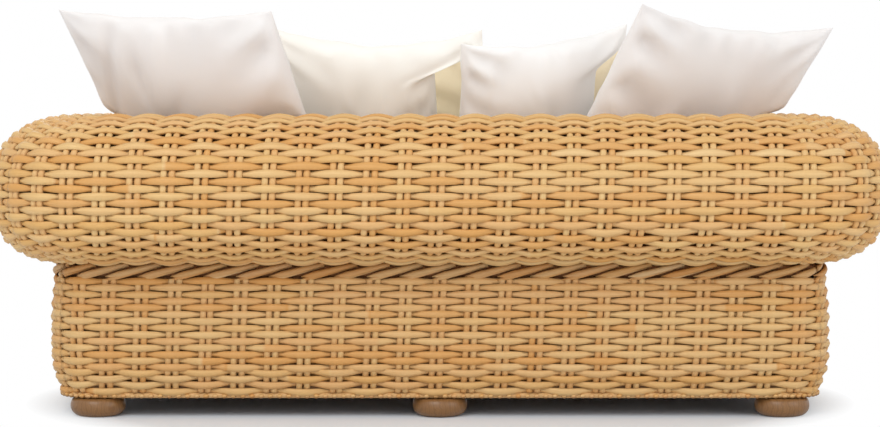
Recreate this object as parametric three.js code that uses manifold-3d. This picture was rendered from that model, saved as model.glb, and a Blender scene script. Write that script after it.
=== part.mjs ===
// A woven garden sofa: a box base and a fat rolled back and arms, woven round a bent aluminium tube frame,
// on six turned feet, with two seat cushions and five loose pillows.
// Millimetres, +Z up. The front faces -Y, and the left is the sitter's left, towards +X.
// The origin is on the ground under the middle of the sofa.
import * as THREE from "three";
import { mergeVertices } from "three/addons/utils/BufferGeometryUtils.js";
import Module from "manifold-3d";

const wasm = await Module();
wasm.setup();

// Overall and weave sizes
const overallWidth = 2180; // over the rolls of both arms
const overallDepth = 1010; // from the roll's back to the arms' noses
const rollTop = 729; // the roll's crown above the ground
const rollHeight = 367;
const rollOutside = 209; // from the crown line out to the roll's widest point
const rollInside = 150; // from the crown line in to the seat side
const rollOverhang = 150; // past the top of the base wall
const rollUndersidePower = 2.6; // 2 is an ellipse, more is fuller
const rollCrownPower = 2.28;
const weaveThickness = 30;
const baseBottom = 45;
const baseFlare = 10; // how far the base wall bellies out at half its height
const borderHeight = 65; // the turned-under border at the base wall's foot
const borderLip = 21; // how far that border draws in under the belly
const rearCornerRadius = 108; // of the base wall's top, in plan
const frontCornerRadius = 55;
const noseOverhang = 25; // how far the arms' noses stand out past the base wall's front
const noseRadius = 60; // rounding of an arm's nose
const plaitProud = 9; // how far the plait round the neck stands out
const plaitHeight = 31;
const plaitGap = 1; // from the plait up to the roll's underside

// Frame sizes
const railSize = 25; // square tube
const footRailWidth = 60;
const tubeWall = 2;
const hoopDiameter = 20;
const stringerDiameter = 16;
const deckThickness = 12;
const cornerPostSetback = 4; // keeps a corner post's edges out of the rounded wall
const bearerPitch = 720; // between the two deck bearers
const backHoopPitch = 430;
const armHoopFromFront = 120;
const armHoopPitch = 330;

// Feet
const footDiameter = 132;
const footSoleDiameter = 80;
const footShoulderDiameter = 108;
const footNeckDiameter = 76; // the part of a foot that stands up inside the base wall
const footHeight = 58;
const footBellyHeight = 25;
const footFromSide = 113; // from the base wall's side face to a foot's axis
const footFromFace = 70; // from the base wall's front or back face to a foot's axis
const boltDiameter = 8;
const boltHeadDiameter = 16;
const boltHeadHeight = 5;
const boltReach = 38; // how deep a bolt goes into its foot

// Cushions
const seatThickness = 126;
const seatCrown = 4;
const seatEdgeRadius = 26;
const seatSideDraw = 7; // how far a cushion's sides draw in between its corners
const seatGap = 6; // between the cushions and to the arms and the back
const seatFrontSetback = 4;

// Pillows, each measured flat from seam to seam and through its middle
const cornerLeftPillowWidth = 637;
const cornerLeftPillowHeight = 654;
const cornerLeftPillowThickness = 155;
const cornerRightPillowWidth = 618;
const cornerRightPillowHeight = 631;
const cornerRightPillowThickness = 150;
const middleRightPillowWidth = 430;
const middleRightPillowHeight = 536;
const middleRightPillowThickness = 130;
const middleLeftPillowWidth = 545;
const middleLeftPillowHeight = 571;
const middleLeftPillowThickness = 130;
const accentPillowWidth = 530;
const accentPillowHeight = 520;
const accentPillowThickness = 120;

// Clearances and small sizes
const fit = 0.3; // between pieces that touch
const overrun = 5; // how far a cutter passes what it cuts
const leastBend = 4; // smallest radius of an inner corner in plan
const boltClearance = 0.5;
const pressGap = 7; // between a pillow's facets' corners and the roll that it is pressed against
const armGap = 17; // the same where an arm draws a pillow in sideways
const armGiveDepth = 9; // how softly a pillow rounds off against an arm
const seatGiveDepth = 8; // the same against the seat
const standDepth = 20; // how far a pillow's lower edge flattens on the seat
const pressDepth = 30; // how far a pillow is pressed in where it leans on the roll
const liftLength = 350; // how far a pillow lifts, up and back, to come clear of its neighbours

// Facet counts
const cornerSteps = 6;
const quarterSteps = 6;
const tubeSides = 8;
const latheSegments = 20;
const pillowSteps = 16;
const liftSteps = 10;
const bisections = 14;

const halfBase = overallWidth / 2 - rollOverhang;
const rearWall = overallDepth / 2 - rollOverhang;
const frontWall = -(overallDepth / 2 - noseOverhang);
const crownLine = rollOverhang - rollOutside; // offset of the crown from the base wall
const rollMiddle = rollTop - rollHeight / 2;
const baseTop = rollTop - rollHeight - plaitGap - plaitHeight; // of the base wall, where the plait lies
const seatSide = crownLine - rollInside; // offset of the roll's seat side
const neckLine = -weaveThickness - fit;

const corners = {
  rearLeft: { sideX: 1, sideY: 1, face: rearWall, radius: rearCornerRadius },
  rearRight: { sideX: -1, sideY: 1, face: rearWall, radius: rearCornerRadius },
  frontLeft: { sideX: 1, sideY: -1, face: frontWall, radius: frontCornerRadius },
  frontRight: { sideX: -1, sideY: -1, face: frontWall, radius: frontCornerRadius },
};

// A point of the base wall's plan outline, moved outwards by offset. Turn 0 is where a corner leaves the side
// wall and turn 1 where it joins the back or front wall. Slip moves it on along the outline.
function cornerPoint({ sideX, sideY, face, radius }, turn, offset, slip = 0) {
  const bend = Math.max(radius + offset, leastBend);
  const angle = (turn * Math.PI) / 2;
  const x = halfBase + offset - bend + bend * Math.cos(angle) - slip * Math.sin(angle);
  const y = sideY * (offset - bend + bend * Math.sin(angle) + slip * Math.cos(angle));
  return new THREE.Vector2(sideX * x, face + y);
}

// Stations of half a corner, from its mitre to the given end.
function halfCorner(corner, end, trim) {
  const stations = [];
  const count = cornerSteps / 2;
  for (let i = 0; i <= count; i += 1) {
    const turn = 0.5 + ((end - 0.5) * i) / count;
    const slip = i === 0 ? trim * Math.sign(end - 0.5) : 0;
    stations.push((offset) => cornerPoint(corner, turn, offset, slip));
  }
  return stations;
}

// One side of the plan outline, from mitre to mitre, each end shortened by trim.
function sideRun(side, trim = fit / 2) {
  const ends = {
    back: ["rearLeft", "rearRight", 1],
    front: ["frontLeft", "frontRight", 1],
    left: ["frontLeft", "rearLeft", 0],
    right: ["frontRight", "rearRight", 0],
  };
  const [from, to, end] = ends[side];
  return [
    ...halfCorner(corners[from], end, trim),
    ...halfCorner(corners[to], end, trim).reverse(),
  ];
}

// The back part of an arm's run, from the straight to the rear mitre.
function rearTurn(sideX, trim = fit / 2) {
  return halfCorner(sideX > 0 ? corners.rearLeft : corners.rearRight, 0, trim).reverse();
}

// Straight station across an arm at a given depth.
function armStation(sideX, y) {
  return (offset) => new THREE.Vector2(sideX * (halfBase + offset), y);
}

// A closed solid through rings of points, capped at both ends by the flat outline given.
function loft(rings, outline) {
  const size = outline.length;
  const positions = rings.flat().flatMap((p) => [p.x, p.y, p.z]);
  const faces = [];
  for (let i = 0; i + 1 < rings.length; i += 1) {
    for (let j = 0; j < size; j += 1) {
      const a = i * size + j;
      const b = i * size + ((j + 1) % size);
      faces.push(a, b, b + size, a, b + size, a + size);
    }
  }
  const last = (rings.length - 1) * size;
  THREE.ShapeUtils.triangulateShape(outline, []).forEach(([a, b, c]) => {
    const turned = THREE.ShapeUtils.isClockWise(outline) ? [a, b, c] : [a, c, b];
    faces.push(...turned, turned[2] + last, turned[1] + last, turned[0] + last);
  });
  return facingOut(positions, faces);
}

// A geometry whose faces point out, whichever way round they came.
function facingOut(positions, faces) {
  const at = (i) => new THREE.Vector3().fromArray(positions, 3 * i);
  let volume = 0;
  for (let i = 0; i < faces.length; i += 3) {
    volume += at(faces[i]).dot(at(faces[i + 1]).cross(at(faces[i + 2])));
  }
  if (volume < 0) faces.reverse();
  const geometry = new THREE.BufferGeometry();
  geometry.setAttribute("position", new THREE.Float32BufferAttribute(positions, 3));
  geometry.setIndex(faces);
  return geometry;
}

// Sweeps a section of [offset, height] points along stations of the plan outline.
function sweep(stations, section) {
  const rings = stations.map((station) =>
    section.map(([offset, z]) => {
      const { x, y } = station(offset);
      return new THREE.Vector3(x, y, z);
    }),
  );
  return loft(rings, section.map(([offset, z]) => new THREE.Vector2(offset, z)));
}

function toSolid(geometry) {
  const bare = geometry.clone();
  bare.deleteAttribute("normal");
  bare.deleteAttribute("uv");
  const merged = mergeVertices(bare);
  return new wasm.Manifold(
    new wasm.Mesh({
      numProp: 3,
      vertProperties: merged.attributes.position.array,
      triVerts: new Uint32Array(merged.index.array),
    }),
  );
}

function toGeometry(solid) {
  const { vertProperties, triVerts } = solid.getMesh();
  const geometry = new THREE.BufferGeometry();
  geometry.setAttribute("position", new THREE.Float32BufferAttribute(vertProperties, 3));
  geometry.setIndex(Array.from(triVerts));
  return geometry;
}

function cut(geometry, ...cutters) {
  const solid = cutters.reduce((rest, cutter) => rest.subtract(toSolid(cutter)), toSolid(geometry));
  return toGeometry(solid);
}

const weave = { color: 0xc99a62, roughness: 0.6, metalness: 0 };
const plaitedWeave = { color: 0xbf8f58, roughness: 0.6, metalness: 0 };
const turnedWood = { color: 0x946c4a, roughness: 0.5, metalness: 0 };
const coatedTube = { color: 0xb99a72, roughness: 0.45, metalness: 0.3 };
const steel = { color: 0x9a9a98, roughness: 0.35, metalness: 1 };
const seatCloth = { color: 0xebe6de, roughness: 0.9, metalness: 0 };
const whiteCloth = { color: 0xf3efea, roughness: 0.9, metalness: 0 };
const creamCloth = { color: 0xebd9b0, roughness: 0.9, metalness: 0 };

const sofa = new THREE.Group();

function add(name, geometry, finish) {
  const mesh = new THREE.Mesh(geometry, new THREE.MeshStandardMaterial(finish));
  mesh.name = name;
  sofa.add(mesh);
  return mesh;
}

const leftRight = [
  ["left", 1],
  ["right", -1],
];

// Feet, each with its bolt down through the foot rail
const footPlaces = [];
for (const [end, y] of [
  ["rear", rearWall - footFromFace],
  ["front", frontWall + footFromFace],
]) {
  footPlaces.push({ place: `${end}_left`, x: halfBase - footFromSide, y });
  footPlaces.push({ place: `${end}_mid`, x: 0, y });
  footPlaces.push({ place: `${end}_right`, x: footFromSide - halfBase, y });
}
const footRailBottom = footHeight + fit;
const footRailTop = footRailBottom + railSize;

// Half profile of a bun foot, from the sole's middle round the belly and up the neck.
function footProfile() {
  const belly = footDiameter / 2;
  const points = [new THREE.Vector2(0, 0)];
  for (let i = 0; i <= quarterSteps / 2; i += 1) {
    const angle = (Math.PI / 2) * (1 - (2 * i) / quarterSteps);
    const sole = footSoleDiameter / 2;
    const reach = sole + (belly - sole) * Math.cos(angle);
    points.push(new THREE.Vector2(reach, footBellyHeight * (1 - Math.sin(angle))));
  }
  for (let i = 1; i <= quarterSteps / 2; i += 1) {
    const angle = (Math.PI * i) / quarterSteps;
    const shoulder = footShoulderDiameter / 2;
    const reach = shoulder + (belly - shoulder) * Math.cos(angle);
    const rise = (baseBottom - fit - footBellyHeight) * Math.sin(angle);
    points.push(new THREE.Vector2(reach, footBellyHeight + rise));
  }
  points.push(new THREE.Vector2(footNeckDiameter / 2, baseBottom - fit));
  points.push(new THREE.Vector2(footNeckDiameter / 2, footHeight));
  points.push(new THREE.Vector2(0, footHeight));
  return points;
}

// Stands a lathe's profile, drawn in radius and height, on the ground plane.
function turned(profile, segments = latheSegments) {
  return new THREE.LatheGeometry(profile, segments).rotateX(Math.PI / 2);
}

function boltProfile() {
  const shank = boltDiameter / 2;
  const head = boltHeadDiameter / 2;
  const seat = footRailTop + fit;
  return [
    new THREE.Vector2(0, footHeight - boltReach),
    new THREE.Vector2(shank, footHeight - boltReach),
    new THREE.Vector2(shank, seat),
    new THREE.Vector2(head, seat),
    new THREE.Vector2(head, seat + boltHeadHeight),
    new THREE.Vector2(0, seat + boltHeadHeight),
  ];
}

function boltHole(bottom, top) {
  const hole = new THREE.CylinderGeometry(
    boltDiameter / 2 + boltClearance,
    boltDiameter / 2 + boltClearance,
    top - bottom,
    latheSegments,
  );
  return hole.rotateX(Math.PI / 2).translate(0, 0, (top + bottom) / 2);
}

for (const { place, x, y } of footPlaces) {
  const hole = boltHole(footHeight - boltReach - boltClearance, footHeight + overrun);
  add(`foot_${place}`, cut(turned(footProfile()), hole), turnedWood).position.set(x, y, 0);
  add(`foot_bolt_${place}`, turned(boltProfile(), latheSegments / 2), steel).position.set(x, y, 0);
}

// A closed outline of a rail's section, from its outer face inwards.
function railSection(outerFace, width, bottom, inset = 0) {
  return [
    [outerFace - inset, bottom + inset],
    [outerFace - width + inset, bottom + inset],
    [outerFace - width + inset, bottom + railSize - inset],
    [outerFace - inset, bottom + railSize - inset],
  ];
}

// A hollow rail round one side of the plan outline.
function ringRail(side, outerFace, width, bottom) {
  return cut(
    sweep(sideRun(side), railSection(outerFace, width, bottom)),
    sweep(sideRun(side, -overrun), railSection(outerFace, width, bottom, tubeWall)),
  );
}

const sides = ["back", "front", "left", "right"];
const footRailFace = -weaveThickness - fit;
const seatRailFace = -weaveThickness - fit;
const seatRailBottom = baseTop - railSize;
const footHoles = footPlaces.map(({ x, y }) =>
  boltHole(footRailBottom - overrun, footRailTop + overrun).translate(x, y, 0),
);
for (const side of sides) {
  const footRail = ringRail(side, footRailFace, footRailWidth, footRailBottom);
  add(`foot_rail_${side}`, cut(footRail, ...footHoles), coatedTube);
  add(`seat_rail_${side}`, ringRail(side, seatRailFace, railSize, seatRailBottom), coatedTube);
}

// A straight hollow square tube along X, Y or Z, centred on the origin.
function squareTube(length, axis) {
  const outer = new THREE.BoxGeometry(railSize, railSize, length);
  const bore = railSize - 2 * tubeWall;
  const tube = cut(outer, new THREE.BoxGeometry(bore, bore, length + 2 * overrun));
  if (axis === "x") tube.rotateY(Math.PI / 2);
  if (axis === "y") tube.rotateX(Math.PI / 2);
  return tube;
}

// Tube between two places along one axis.
function addTube(name, axis, from, to, place) {
  const mesh = add(name, squareTube(to - from, axis), coatedTube);
  mesh.position.set(place.x ?? 0, place.y ?? 0, place.z ?? 0);
  mesh.position[axis] = (from + to) / 2;
  return mesh;
}

const footRailInner = footRailFace - footRailWidth - fit;
addTube("foot_cross_rail", "y", frontWall - footRailInner, rearWall + footRailInner, {
  z: footRailBottom + railSize / 2,
});

// Posts stand on the foot rail's outer half, clear of the bolt heads, and carry the seat rail.
const postLine = seatRailFace - railSize / 2;
const postBottom = footRailTop + fit;
const postTop = seatRailBottom - fit;
for (const [end, corner] of Object.entries(corners)) {
  const { x, y } = cornerPoint(corner, 0.5, postLine - cornerPostSetback);
  const name = end.replace("Left", "_left").replace("Right", "_right");
  const post = addTube(`post_${name}`, "z", postBottom, postTop, { x, y });
  post.rotation.z = Math.PI / 4;
}
addTube("post_rear_mid", "z", postBottom, postTop, { y: rearWall + postLine });
addTube("post_front_mid", "z", postBottom, postTop, { y: frontWall - postLine });

// Deck rails carry the hoops' inner feet, and the bearers carry the woven deck.
const seatRailInner = seatRailFace - railSize - fit;
const deckRailLine = seatSide + weaveThickness + fit + railSize / 2;
const deckRailHeight = seatRailBottom + railSize / 2;
const deckEdge = deckRailLine - railSize / 2 - fit;
const deckBottom = baseTop - deckThickness;
for (const [hand, sideX] of leftRight) {
  addTube(`deck_rail_${hand}`, "y", frontWall - seatRailInner, rearWall + seatRailInner, {
    x: sideX * (halfBase + deckRailLine),
    z: deckRailHeight,
  });
  addTube(`deck_bearer_${hand}`, "y", frontWall - seatRailInner, rearWall + deckEdge, {
    x: (sideX * bearerPitch) / 2,
    z: deckBottom - fit - railSize / 2,
  });
}
addTube("deck_rail_back", "x", -halfBase - deckEdge, halfBase + deckEdge, {
  y: rearWall + deckRailLine,
  z: deckRailHeight,
});
const deckFront = frontWall - seatRailInner;
const deckBack = rearWall + deckEdge;
const deck = new THREE.BoxGeometry(2 * (halfBase + deckEdge), deckBack - deckFront, deckThickness);
add("seat_deck", deck, weave).position.set(0, (deckFront + deckBack) / 2, baseTop - deckThickness / 2);

// One quarter of the roll's outline: across is its half width, and it runs between two angles in degrees.
function rollQuarter(across, rise, from, to, power) {
  const points = [];
  for (let i = 0; i <= quarterSteps; i += 1) {
    const angle = ((from + ((to - from) * i) / quarterSteps) * Math.PI) / 180;
    const reach = Math.abs(Math.cos(angle)) ** (2 / power);
    const climb = Math.abs(Math.sin(angle)) ** (2 / power);
    points.push([
      crownLine + across * reach * Math.sign(Math.cos(angle)),
      rollMiddle + rise * climb * Math.sign(Math.sin(angle)),
    ]);
  }
  return points;
}

// The roll's outline, drawn in by inset: from the neck out round the belly and over the crown to the seat side.
function rollOutline(inset, neck) {
  const rise = rollHeight / 2 - inset;
  const outside = rollOutside - inset;
  const inside = rollInside - inset;
  const neckShare = (neck - crownLine) / outside;
  const neckAngle = (Math.acos(neckShare ** (rollUndersidePower / 2)) * 180) / Math.PI;
  return [
    ...rollQuarter(outside, rise, -neckAngle, 0, rollUndersidePower),
    ...rollQuarter(outside, rise, 0, 90, rollCrownPower).slice(1),
    ...rollQuarter(inside, rise, 90, 180, rollCrownPower).slice(1),
  ];
}

function rollSection(inset, neck, bottom) {
  return [[neck, bottom], ...rollOutline(inset, neck), [seatSide + inset, bottom]];
}

// The woven roll: a shell open along its neck, where the hoops stand up into it.
const rollBottom = baseTop + fit;
const rollSkin = rollSection(0, neckLine, rollBottom);
const rollHollow = rollSection(weaveThickness, neckLine + overrun, rollBottom - overrun);
add(
  "roll_weave_back",
  cut(sweep(sideRun("back"), rollSkin), sweep(sideRun("back", -overrun), rollHollow)),
  weave,
);

// An arm's roll ends in a nose that is closed and rounded at its rim.
const noseFront = -overallDepth / 2;
for (const [hand, sideX] of leftRight) {
  const rings = [];
  for (let i = 0; i <= quarterSteps / 2; i += 1) {
    const angle = (Math.PI * i) / quarterSteps;
    const inset = noseRadius * (1 - Math.sin(angle));
    const station = armStation(sideX, noseFront + noseRadius * (1 - Math.cos(angle)));
    rings.push([station, rollSection(inset, neckLine, rollBottom)]);
  }
  rearTurn(sideX).forEach((station) => rings.push([station, rollSkin]));
  const skin = rings.map(([station, section]) =>
    section.map(([offset, z]) => {
      const { x, y } = station(offset);
      return new THREE.Vector3(x, y, z);
    }),
  );
  const outline = rollSkin.map(([offset, z]) => new THREE.Vector2(offset, z));
  const hollow = [armStation(sideX, noseFront + weaveThickness), ...rearTurn(sideX, -overrun)];
  add(`roll_weave_${hand}`, cut(loft(skin, outline), sweep(hollow, rollHollow)), weave);
}

// Base walls, leaning out towards a rounded border at their foot
const wallHeight = baseTop - baseBottom;
const wallSection = [
  [0, baseTop],
  [0.6 * baseFlare, baseTop - 0.2 * wallHeight],
  [baseFlare, baseTop - 0.48 * wallHeight],
  [baseFlare, baseTop - 0.62 * wallHeight],
  [baseFlare - borderLip / 7, baseBottom + borderHeight],
  [baseFlare - 0.8 * borderLip, baseBottom + 0.38 * borderHeight],
  [baseFlare - 0.94 * borderLip, baseBottom + 0.1 * borderHeight],
  [baseFlare - borderLip, baseBottom],
  [-weaveThickness, baseBottom],
  [-weaveThickness, baseBottom + borderHeight],
  [baseFlare - weaveThickness, baseTop - 0.48 * wallHeight],
  [-weaveThickness, baseTop - 0.15 * wallHeight],
  [-weaveThickness, baseTop],
];
for (const side of sides) add(`base_weave_${side}`, sweep(sideRun(side), wallSection), weave);

// The plaited band round the neck, between the base wall and the roll
const plaitRound = plaitProud / 2;
const plaitSection = [
  [-weaveThickness, baseTop + fit],
  [plaitProud - plaitRound, baseTop + fit],
  [plaitProud, baseTop + fit + plaitRound],
  [plaitProud, baseTop + plaitHeight - plaitRound],
  [plaitProud - plaitRound, baseTop + plaitHeight],
  [-weaveThickness, baseTop + plaitHeight],
];
add("neck_plait_back", sweep(sideRun("back"), plaitSection), plaitedWeave);
for (const [hand, sideX] of leftRight) {
  const run = [armStation(sideX, frontWall), ...rearTurn(sideX)];
  add(`neck_plait_${hand}`, sweep(run, plaitSection), plaitedWeave);
}

// A hoop's centre line in the roll's section: up from the seat rail, round under the weave and down to the deck rail.
function hoopLine() {
  const inset = weaveThickness + fit + hoopDiameter / 2;
  const foot = seatRailFace - railSize / 2;
  const [first, ...rest] = rollOutline(inset, foot + hoopDiameter);
  return [
    [foot, rollBottom],
    [foot, first[1] - hoopDiameter / 2],
    [foot + hoopDiameter / 3, first[1] - hoopDiameter / 8],
    first,
    ...rest,
    [seatSide + inset, rollBottom],
  ].map(([offset, z]) => new THREE.Vector2(offset, z));
}

// A round tube along the hoop's line, where place turns an offset into a plan point.
function hoopTube(place, along) {
  const line = hoopLine();
  const rings = line.map((at, i) => {
    const ahead = line[Math.min(i + 1, line.length - 1)];
    const behind = line[Math.max(i - 1, 0)];
    const tangent = ahead.clone().sub(behind).normalize();
    return circle(hoopDiameter / 2).map(([across, side]) => {
      const offset = at.x - tangent.y * across;
      const { x, y } = place(offset);
      return new THREE.Vector3(x, y, at.y + tangent.x * across).addScaledVector(along, side);
    });
  });
  return loft(rings, circle(hoopDiameter / 2).map(([a, b]) => new THREE.Vector2(a, b)));
}

// Points of a tube's round section. A flat lies outwards, so that it sits close under the weave.
function circle(radius) {
  const points = [];
  for (let i = 0; i < tubeSides; i += 1) {
    const angle = (2 * Math.PI * (i + 0.5)) / tubeSides;
    points.push([radius * Math.cos(angle), radius * Math.sin(angle)]);
  }
  return points;
}

const alongX = new THREE.Vector3(1, 0, 0);
const alongY = new THREE.Vector3(0, 1, 0);
const backHoops = [
  ["left", backHoopPitch],
  ["mid", 0],
  ["right", -backHoopPitch],
];
for (const [place, x] of backHoops) {
  const across = (offset) => new THREE.Vector2(x, rearWall + offset);
  add(`back_hoop_${place}`, hoopTube(across, alongX), coatedTube);
}
const armHoopFront = noseFront + armHoopFromFront;
for (const [hand, sideX] of leftRight) {
  const front = hoopTube(armStation(sideX, armHoopFront), alongY);
  const rear = hoopTube(armStation(sideX, armHoopFront + armHoopPitch), alongY);
  add(`arm_hoop_${hand}_front`, front, coatedTube);
  add(`arm_hoop_${hand}_rear`, rear, coatedTube);
}

// Stringers tie the hoops together under the crown.
const stringerDepth = weaveThickness + hoopDiameter + stringerDiameter / 2;
const stringerHeight = rollTop - stringerDepth;
const stringerLine = rearWall + crownLine;
const armStringerX = halfBase + crownLine;
const stringerEnd = stringerLine + stringerDiameter / 2;

function stringer(length) {
  return new THREE.CylinderGeometry(stringerDiameter / 2, stringerDiameter / 2, length, tubeSides);
}

for (const [hand, sideX] of leftRight) {
  const from = armHoopFront - hoopDiameter;
  const tube = add(`crown_stringer_${hand}`, stringer(stringerEnd - from), coatedTube);
  tube.position.set(sideX * armStringerX, (from + stringerEnd) / 2, stringerHeight);
}
const backStringer = stringer(2 * (armStringerX - stringerDiameter / 2 - fit)).rotateZ(Math.PI / 2);
add("crown_stringer_back", backStringer, coatedTube).position.set(0, stringerLine, stringerHeight);

// A box cushion: rounded edges, a crown above, and sides drawn in a little between the corners.
function boxCushion(width, depth, height) {
  const gridX = 2 * quarterSteps;
  const bare = new THREE.BoxGeometry(2, 2, 2, gridX, gridX - 2, 4);
  bare.deleteAttribute("normal");
  bare.deleteAttribute("uv");
  const cushion = mergeVertices(bare);
  const half = new THREE.Vector3(width / 2, depth / 2, height / 2);
  const core = half.clone().subScalar(seatEdgeRadius);
  const spread = (share) => Math.sin((share * Math.PI) / 2);
  const places = cushion.attributes.position;
  for (let i = 0; i < places.count; i += 1) {
    const share = new THREE.Vector3().fromBufferAttribute(places, i);
    share.set(spread(share.x), spread(share.y), spread(share.z));
    const at = share.clone().multiply(half);
    const held = at.clone().clamp(core.clone().negate(), core);
    const out = at.clone().sub(held);
    if (out.length() > seatEdgeRadius) at.copy(held).addScaledVector(out.normalize(), seatEdgeRadius);
    const middle = (1 - share.x ** 2) * (1 - share.y ** 2);
    at.x -= Math.sign(share.x) * seatSideDraw * Math.abs(share.x) * (1 - share.y ** 2);
    at.y -= Math.sign(share.y) * seatSideDraw * Math.abs(share.y) * (1 - share.x ** 2);
    if (share.z > 0) at.z += seatCrown * middle * share.z;
    places.setXYZ(i, at.x, at.y, at.z);
  }
  return cushion;
}

const seatBottom = baseTop + fit;
const seatWellWidth = 2 * (halfBase + seatSide);
const seatWidth = (seatWellWidth - 3 * seatGap) / 2;
const seatBack = rearWall + seatSide - seatGap;
const seatFront = frontWall + seatFrontSetback;
const seatTop = seatBottom + seatThickness + seatCrown;
const seatPaths = []; // the space that each cushion passes through when it is drawn out to the front
for (const [hand, sideX] of leftRight) {
  const cushion = boxCushion(seatWidth, seatBack - seatFront, seatThickness);
  const place = [
    (sideX * (seatWidth + seatGap)) / 2,
    (seatBack + seatFront) / 2,
    seatBottom + seatThickness / 2,
  ];
  add(`seat_cushion_${hand}`, cushion, seatCloth).position.set(...place);
  const solid = toSolid(cushion).translate(...place);
  seatPaths.push(wasm.Manifold.hull([solid, solid.translate(0, seatFront - seatBack, 0)]));
}

// How far a plan point lies outside the base wall's outline, negative inside it.
function wallOffset(x, y) {
  const pastX = Math.abs(x) - halfBase;
  const pastY = y - rearWall;
  const inCorner = Math.min(pastX, pastY) > -rearCornerRadius;
  if (!inCorner) return Math.max(pastX, pastY);
  return Math.hypot(pastX + rearCornerRadius, pastY + rearCornerRadius) - rearCornerRadius;
}

// How far the roll's seat side stands in from its crown line at a height, as a share of its reach.
function reachShare(z, margin) {
  if (z < rollMiddle) return 1;
  const climb = (z - rollMiddle) / (rollHeight / 2 + margin);
  return climb < 1 ? (1 - climb ** rollCrownPower) ** (1 / rollCrownPower) : 0;
}

// Whether a point lies within a margin of the woven roll.
function inRoll({ x, y, z }, margin) {
  const past = wallOffset(x, y) - crownLine;
  const across = (past > 0 ? rollOutside : rollInside) + margin;
  return Math.abs(past) < across * reachShare(z, margin);
}

// Whether a point meets the roll on its way up, along a lift's direction.
function liftsIntoRoll(start, lift) {
  for (let i = 0; i <= liftSteps; i += 1) {
    const at = start.clone().addScaledVector(lift, (liftLength * i) / liftSteps);
    if (inRoll(at, pressGap)) return true;
  }
  return false;
}

// How far forward a point has to be pressed to stay clear of the roll, now and while the pillow is lifted.
function pressed(start, forward, lift) {
  if (!liftsIntoRoll(start, lift)) return 0;
  let held = 0;
  let free = rollInside + rollOutside;
  for (let i = 0; i < bisections; i += 1) {
    const half = (held + free) / 2;
    if (liftsIntoRoll(start.clone().addScaledVector(forward, half), lift)) held = half;
    else free = half;
  }
  return free;
}

// Draws a point in sideways until it is clear of the arm beside it, and up onto the seat.
function clearOfArmAndSeat(point, stand) {
  point.z = -softened(-point.z, -stand, seatGiveDepth);
  const share = reachShare(point.z, armGap);
  if (share === 0) return;
  const limit = halfBase + crownLine - (rollInside + armGap) * share;
  point.x = Math.sign(point.x) * softened(Math.abs(point.x), limit, armGiveDepth);
}

// A value held below a limit, rounding off within a little of it.
function softened(value, limit, give) {
  const past = value - (limit - give);
  return past > 0 ? limit - give * Math.exp(-past / give) : value;
}

// Rear and front points of a knife-edged pillow that stands at a height with its middle at x and y. The sag
// shares say how far its left, right, top and bottom edges draw in between its corners, as shares of its half
// width or height, and the tuck shares how far its lower corners are folded away. Where it leans on the roll
// it is pressed thinner.
function pillowPoints(form, x, y, stand) {
  const { width, height, thickness, sagShares, earPower, tuckShares, yaw, lean, roll } = form;
  const angles = [-lean, roll, yaw].map(THREE.MathUtils.degToRad);
  const turn = new THREE.Matrix4().makeRotationFromEuler(new THREE.Euler(...angles, "ZXY"));
  const forward = new THREE.Vector3(0, -1, 0).transformDirection(turn);
  const [leftSag, rightSag, topSag, bottomSag] = sagShares;
  const [leftTuck, rightTuck] = tuckShares;
  const rear = [];
  const thick = [];
  for (let j = 0; j <= pillowSteps; j += 1) {
    for (let i = 0; i <= pillowSteps; i += 1) {
      const [u, v] = [i, j].map((step) => Math.sin(((2 * step) / pillowSteps - 1) * (Math.PI / 2)));
      const tuck = v > 0 ? 0 : u > 0 ? leftTuck : rightTuck;
      const ear = (1 - tuck) * Math.abs(v) ** earPower;
      const sideSag = (u > 0 ? leftSag : rightSag) * (1 - ear);
      const edgeSag = (v > 0 ? topSag : bottomSag) * (1 - u ** 2);
      const full = thickness * Math.sqrt((1 - u ** 2) * (1 - v ** 2));
      const across = (width / 2) * u * (1 - sideSag);
      const up = (height / 2) * v * (1 - edgeSag);
      rear.push(new THREE.Vector3(across, full / 2, up).applyMatrix4(turn));
      thick.push(full);
    }
  }
  const lowest = Math.min(...rear.map(({ z }) => z));
  const place = new THREE.Vector3(x, y, stand - lowest - standDepth);
  const lift = new THREE.Vector3(0, Math.sin(THREE.MathUtils.degToRad(form.liftLean)), 0);
  lift.z = Math.cos(THREE.MathUtils.degToRad(form.liftLean));
  const front = [];
  let deepest = 0;
  rear.forEach((point, i) => {
    point.add(place);
    const ahead = point.clone().addScaledVector(forward, thick[i]);
    clearOfArmAndSeat(point, stand);
    clearOfArmAndSeat(ahead, stand);
    const press = pressed(point, forward, lift);
    const most = Math.min(press, pressDepth);
    deepest = Math.max(deepest, press);
    point.addScaledVector(forward, press);
    ahead.addScaledVector(forward, Math.max(press - 0.4 * thick[i], 0.6 * most));
    front.push(ahead);
  });
  return { rear, front, deepest };
}

function pillowGeometry({ rear, front }) {
  const grid = pillowSteps + 1;
  const faces = [];
  const count = rear.length;
  for (let j = 0; j < pillowSteps; j += 1) {
    for (let i = 0; i < pillowSteps; i += 1) {
      const a = j * grid + i;
      faces.push(a, a + grid + 1, a + 1, a, a + grid, a + grid + 1);
      faces.push(a + count, a + count + 1, a + count + grid + 1);
      faces.push(a + count, a + count + grid + 1, a + count + grid);
    }
  }
  return mergeVertices(facingOut([...rear, ...front].flatMap((p) => [...p]), faces), fit / 10);
}

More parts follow.
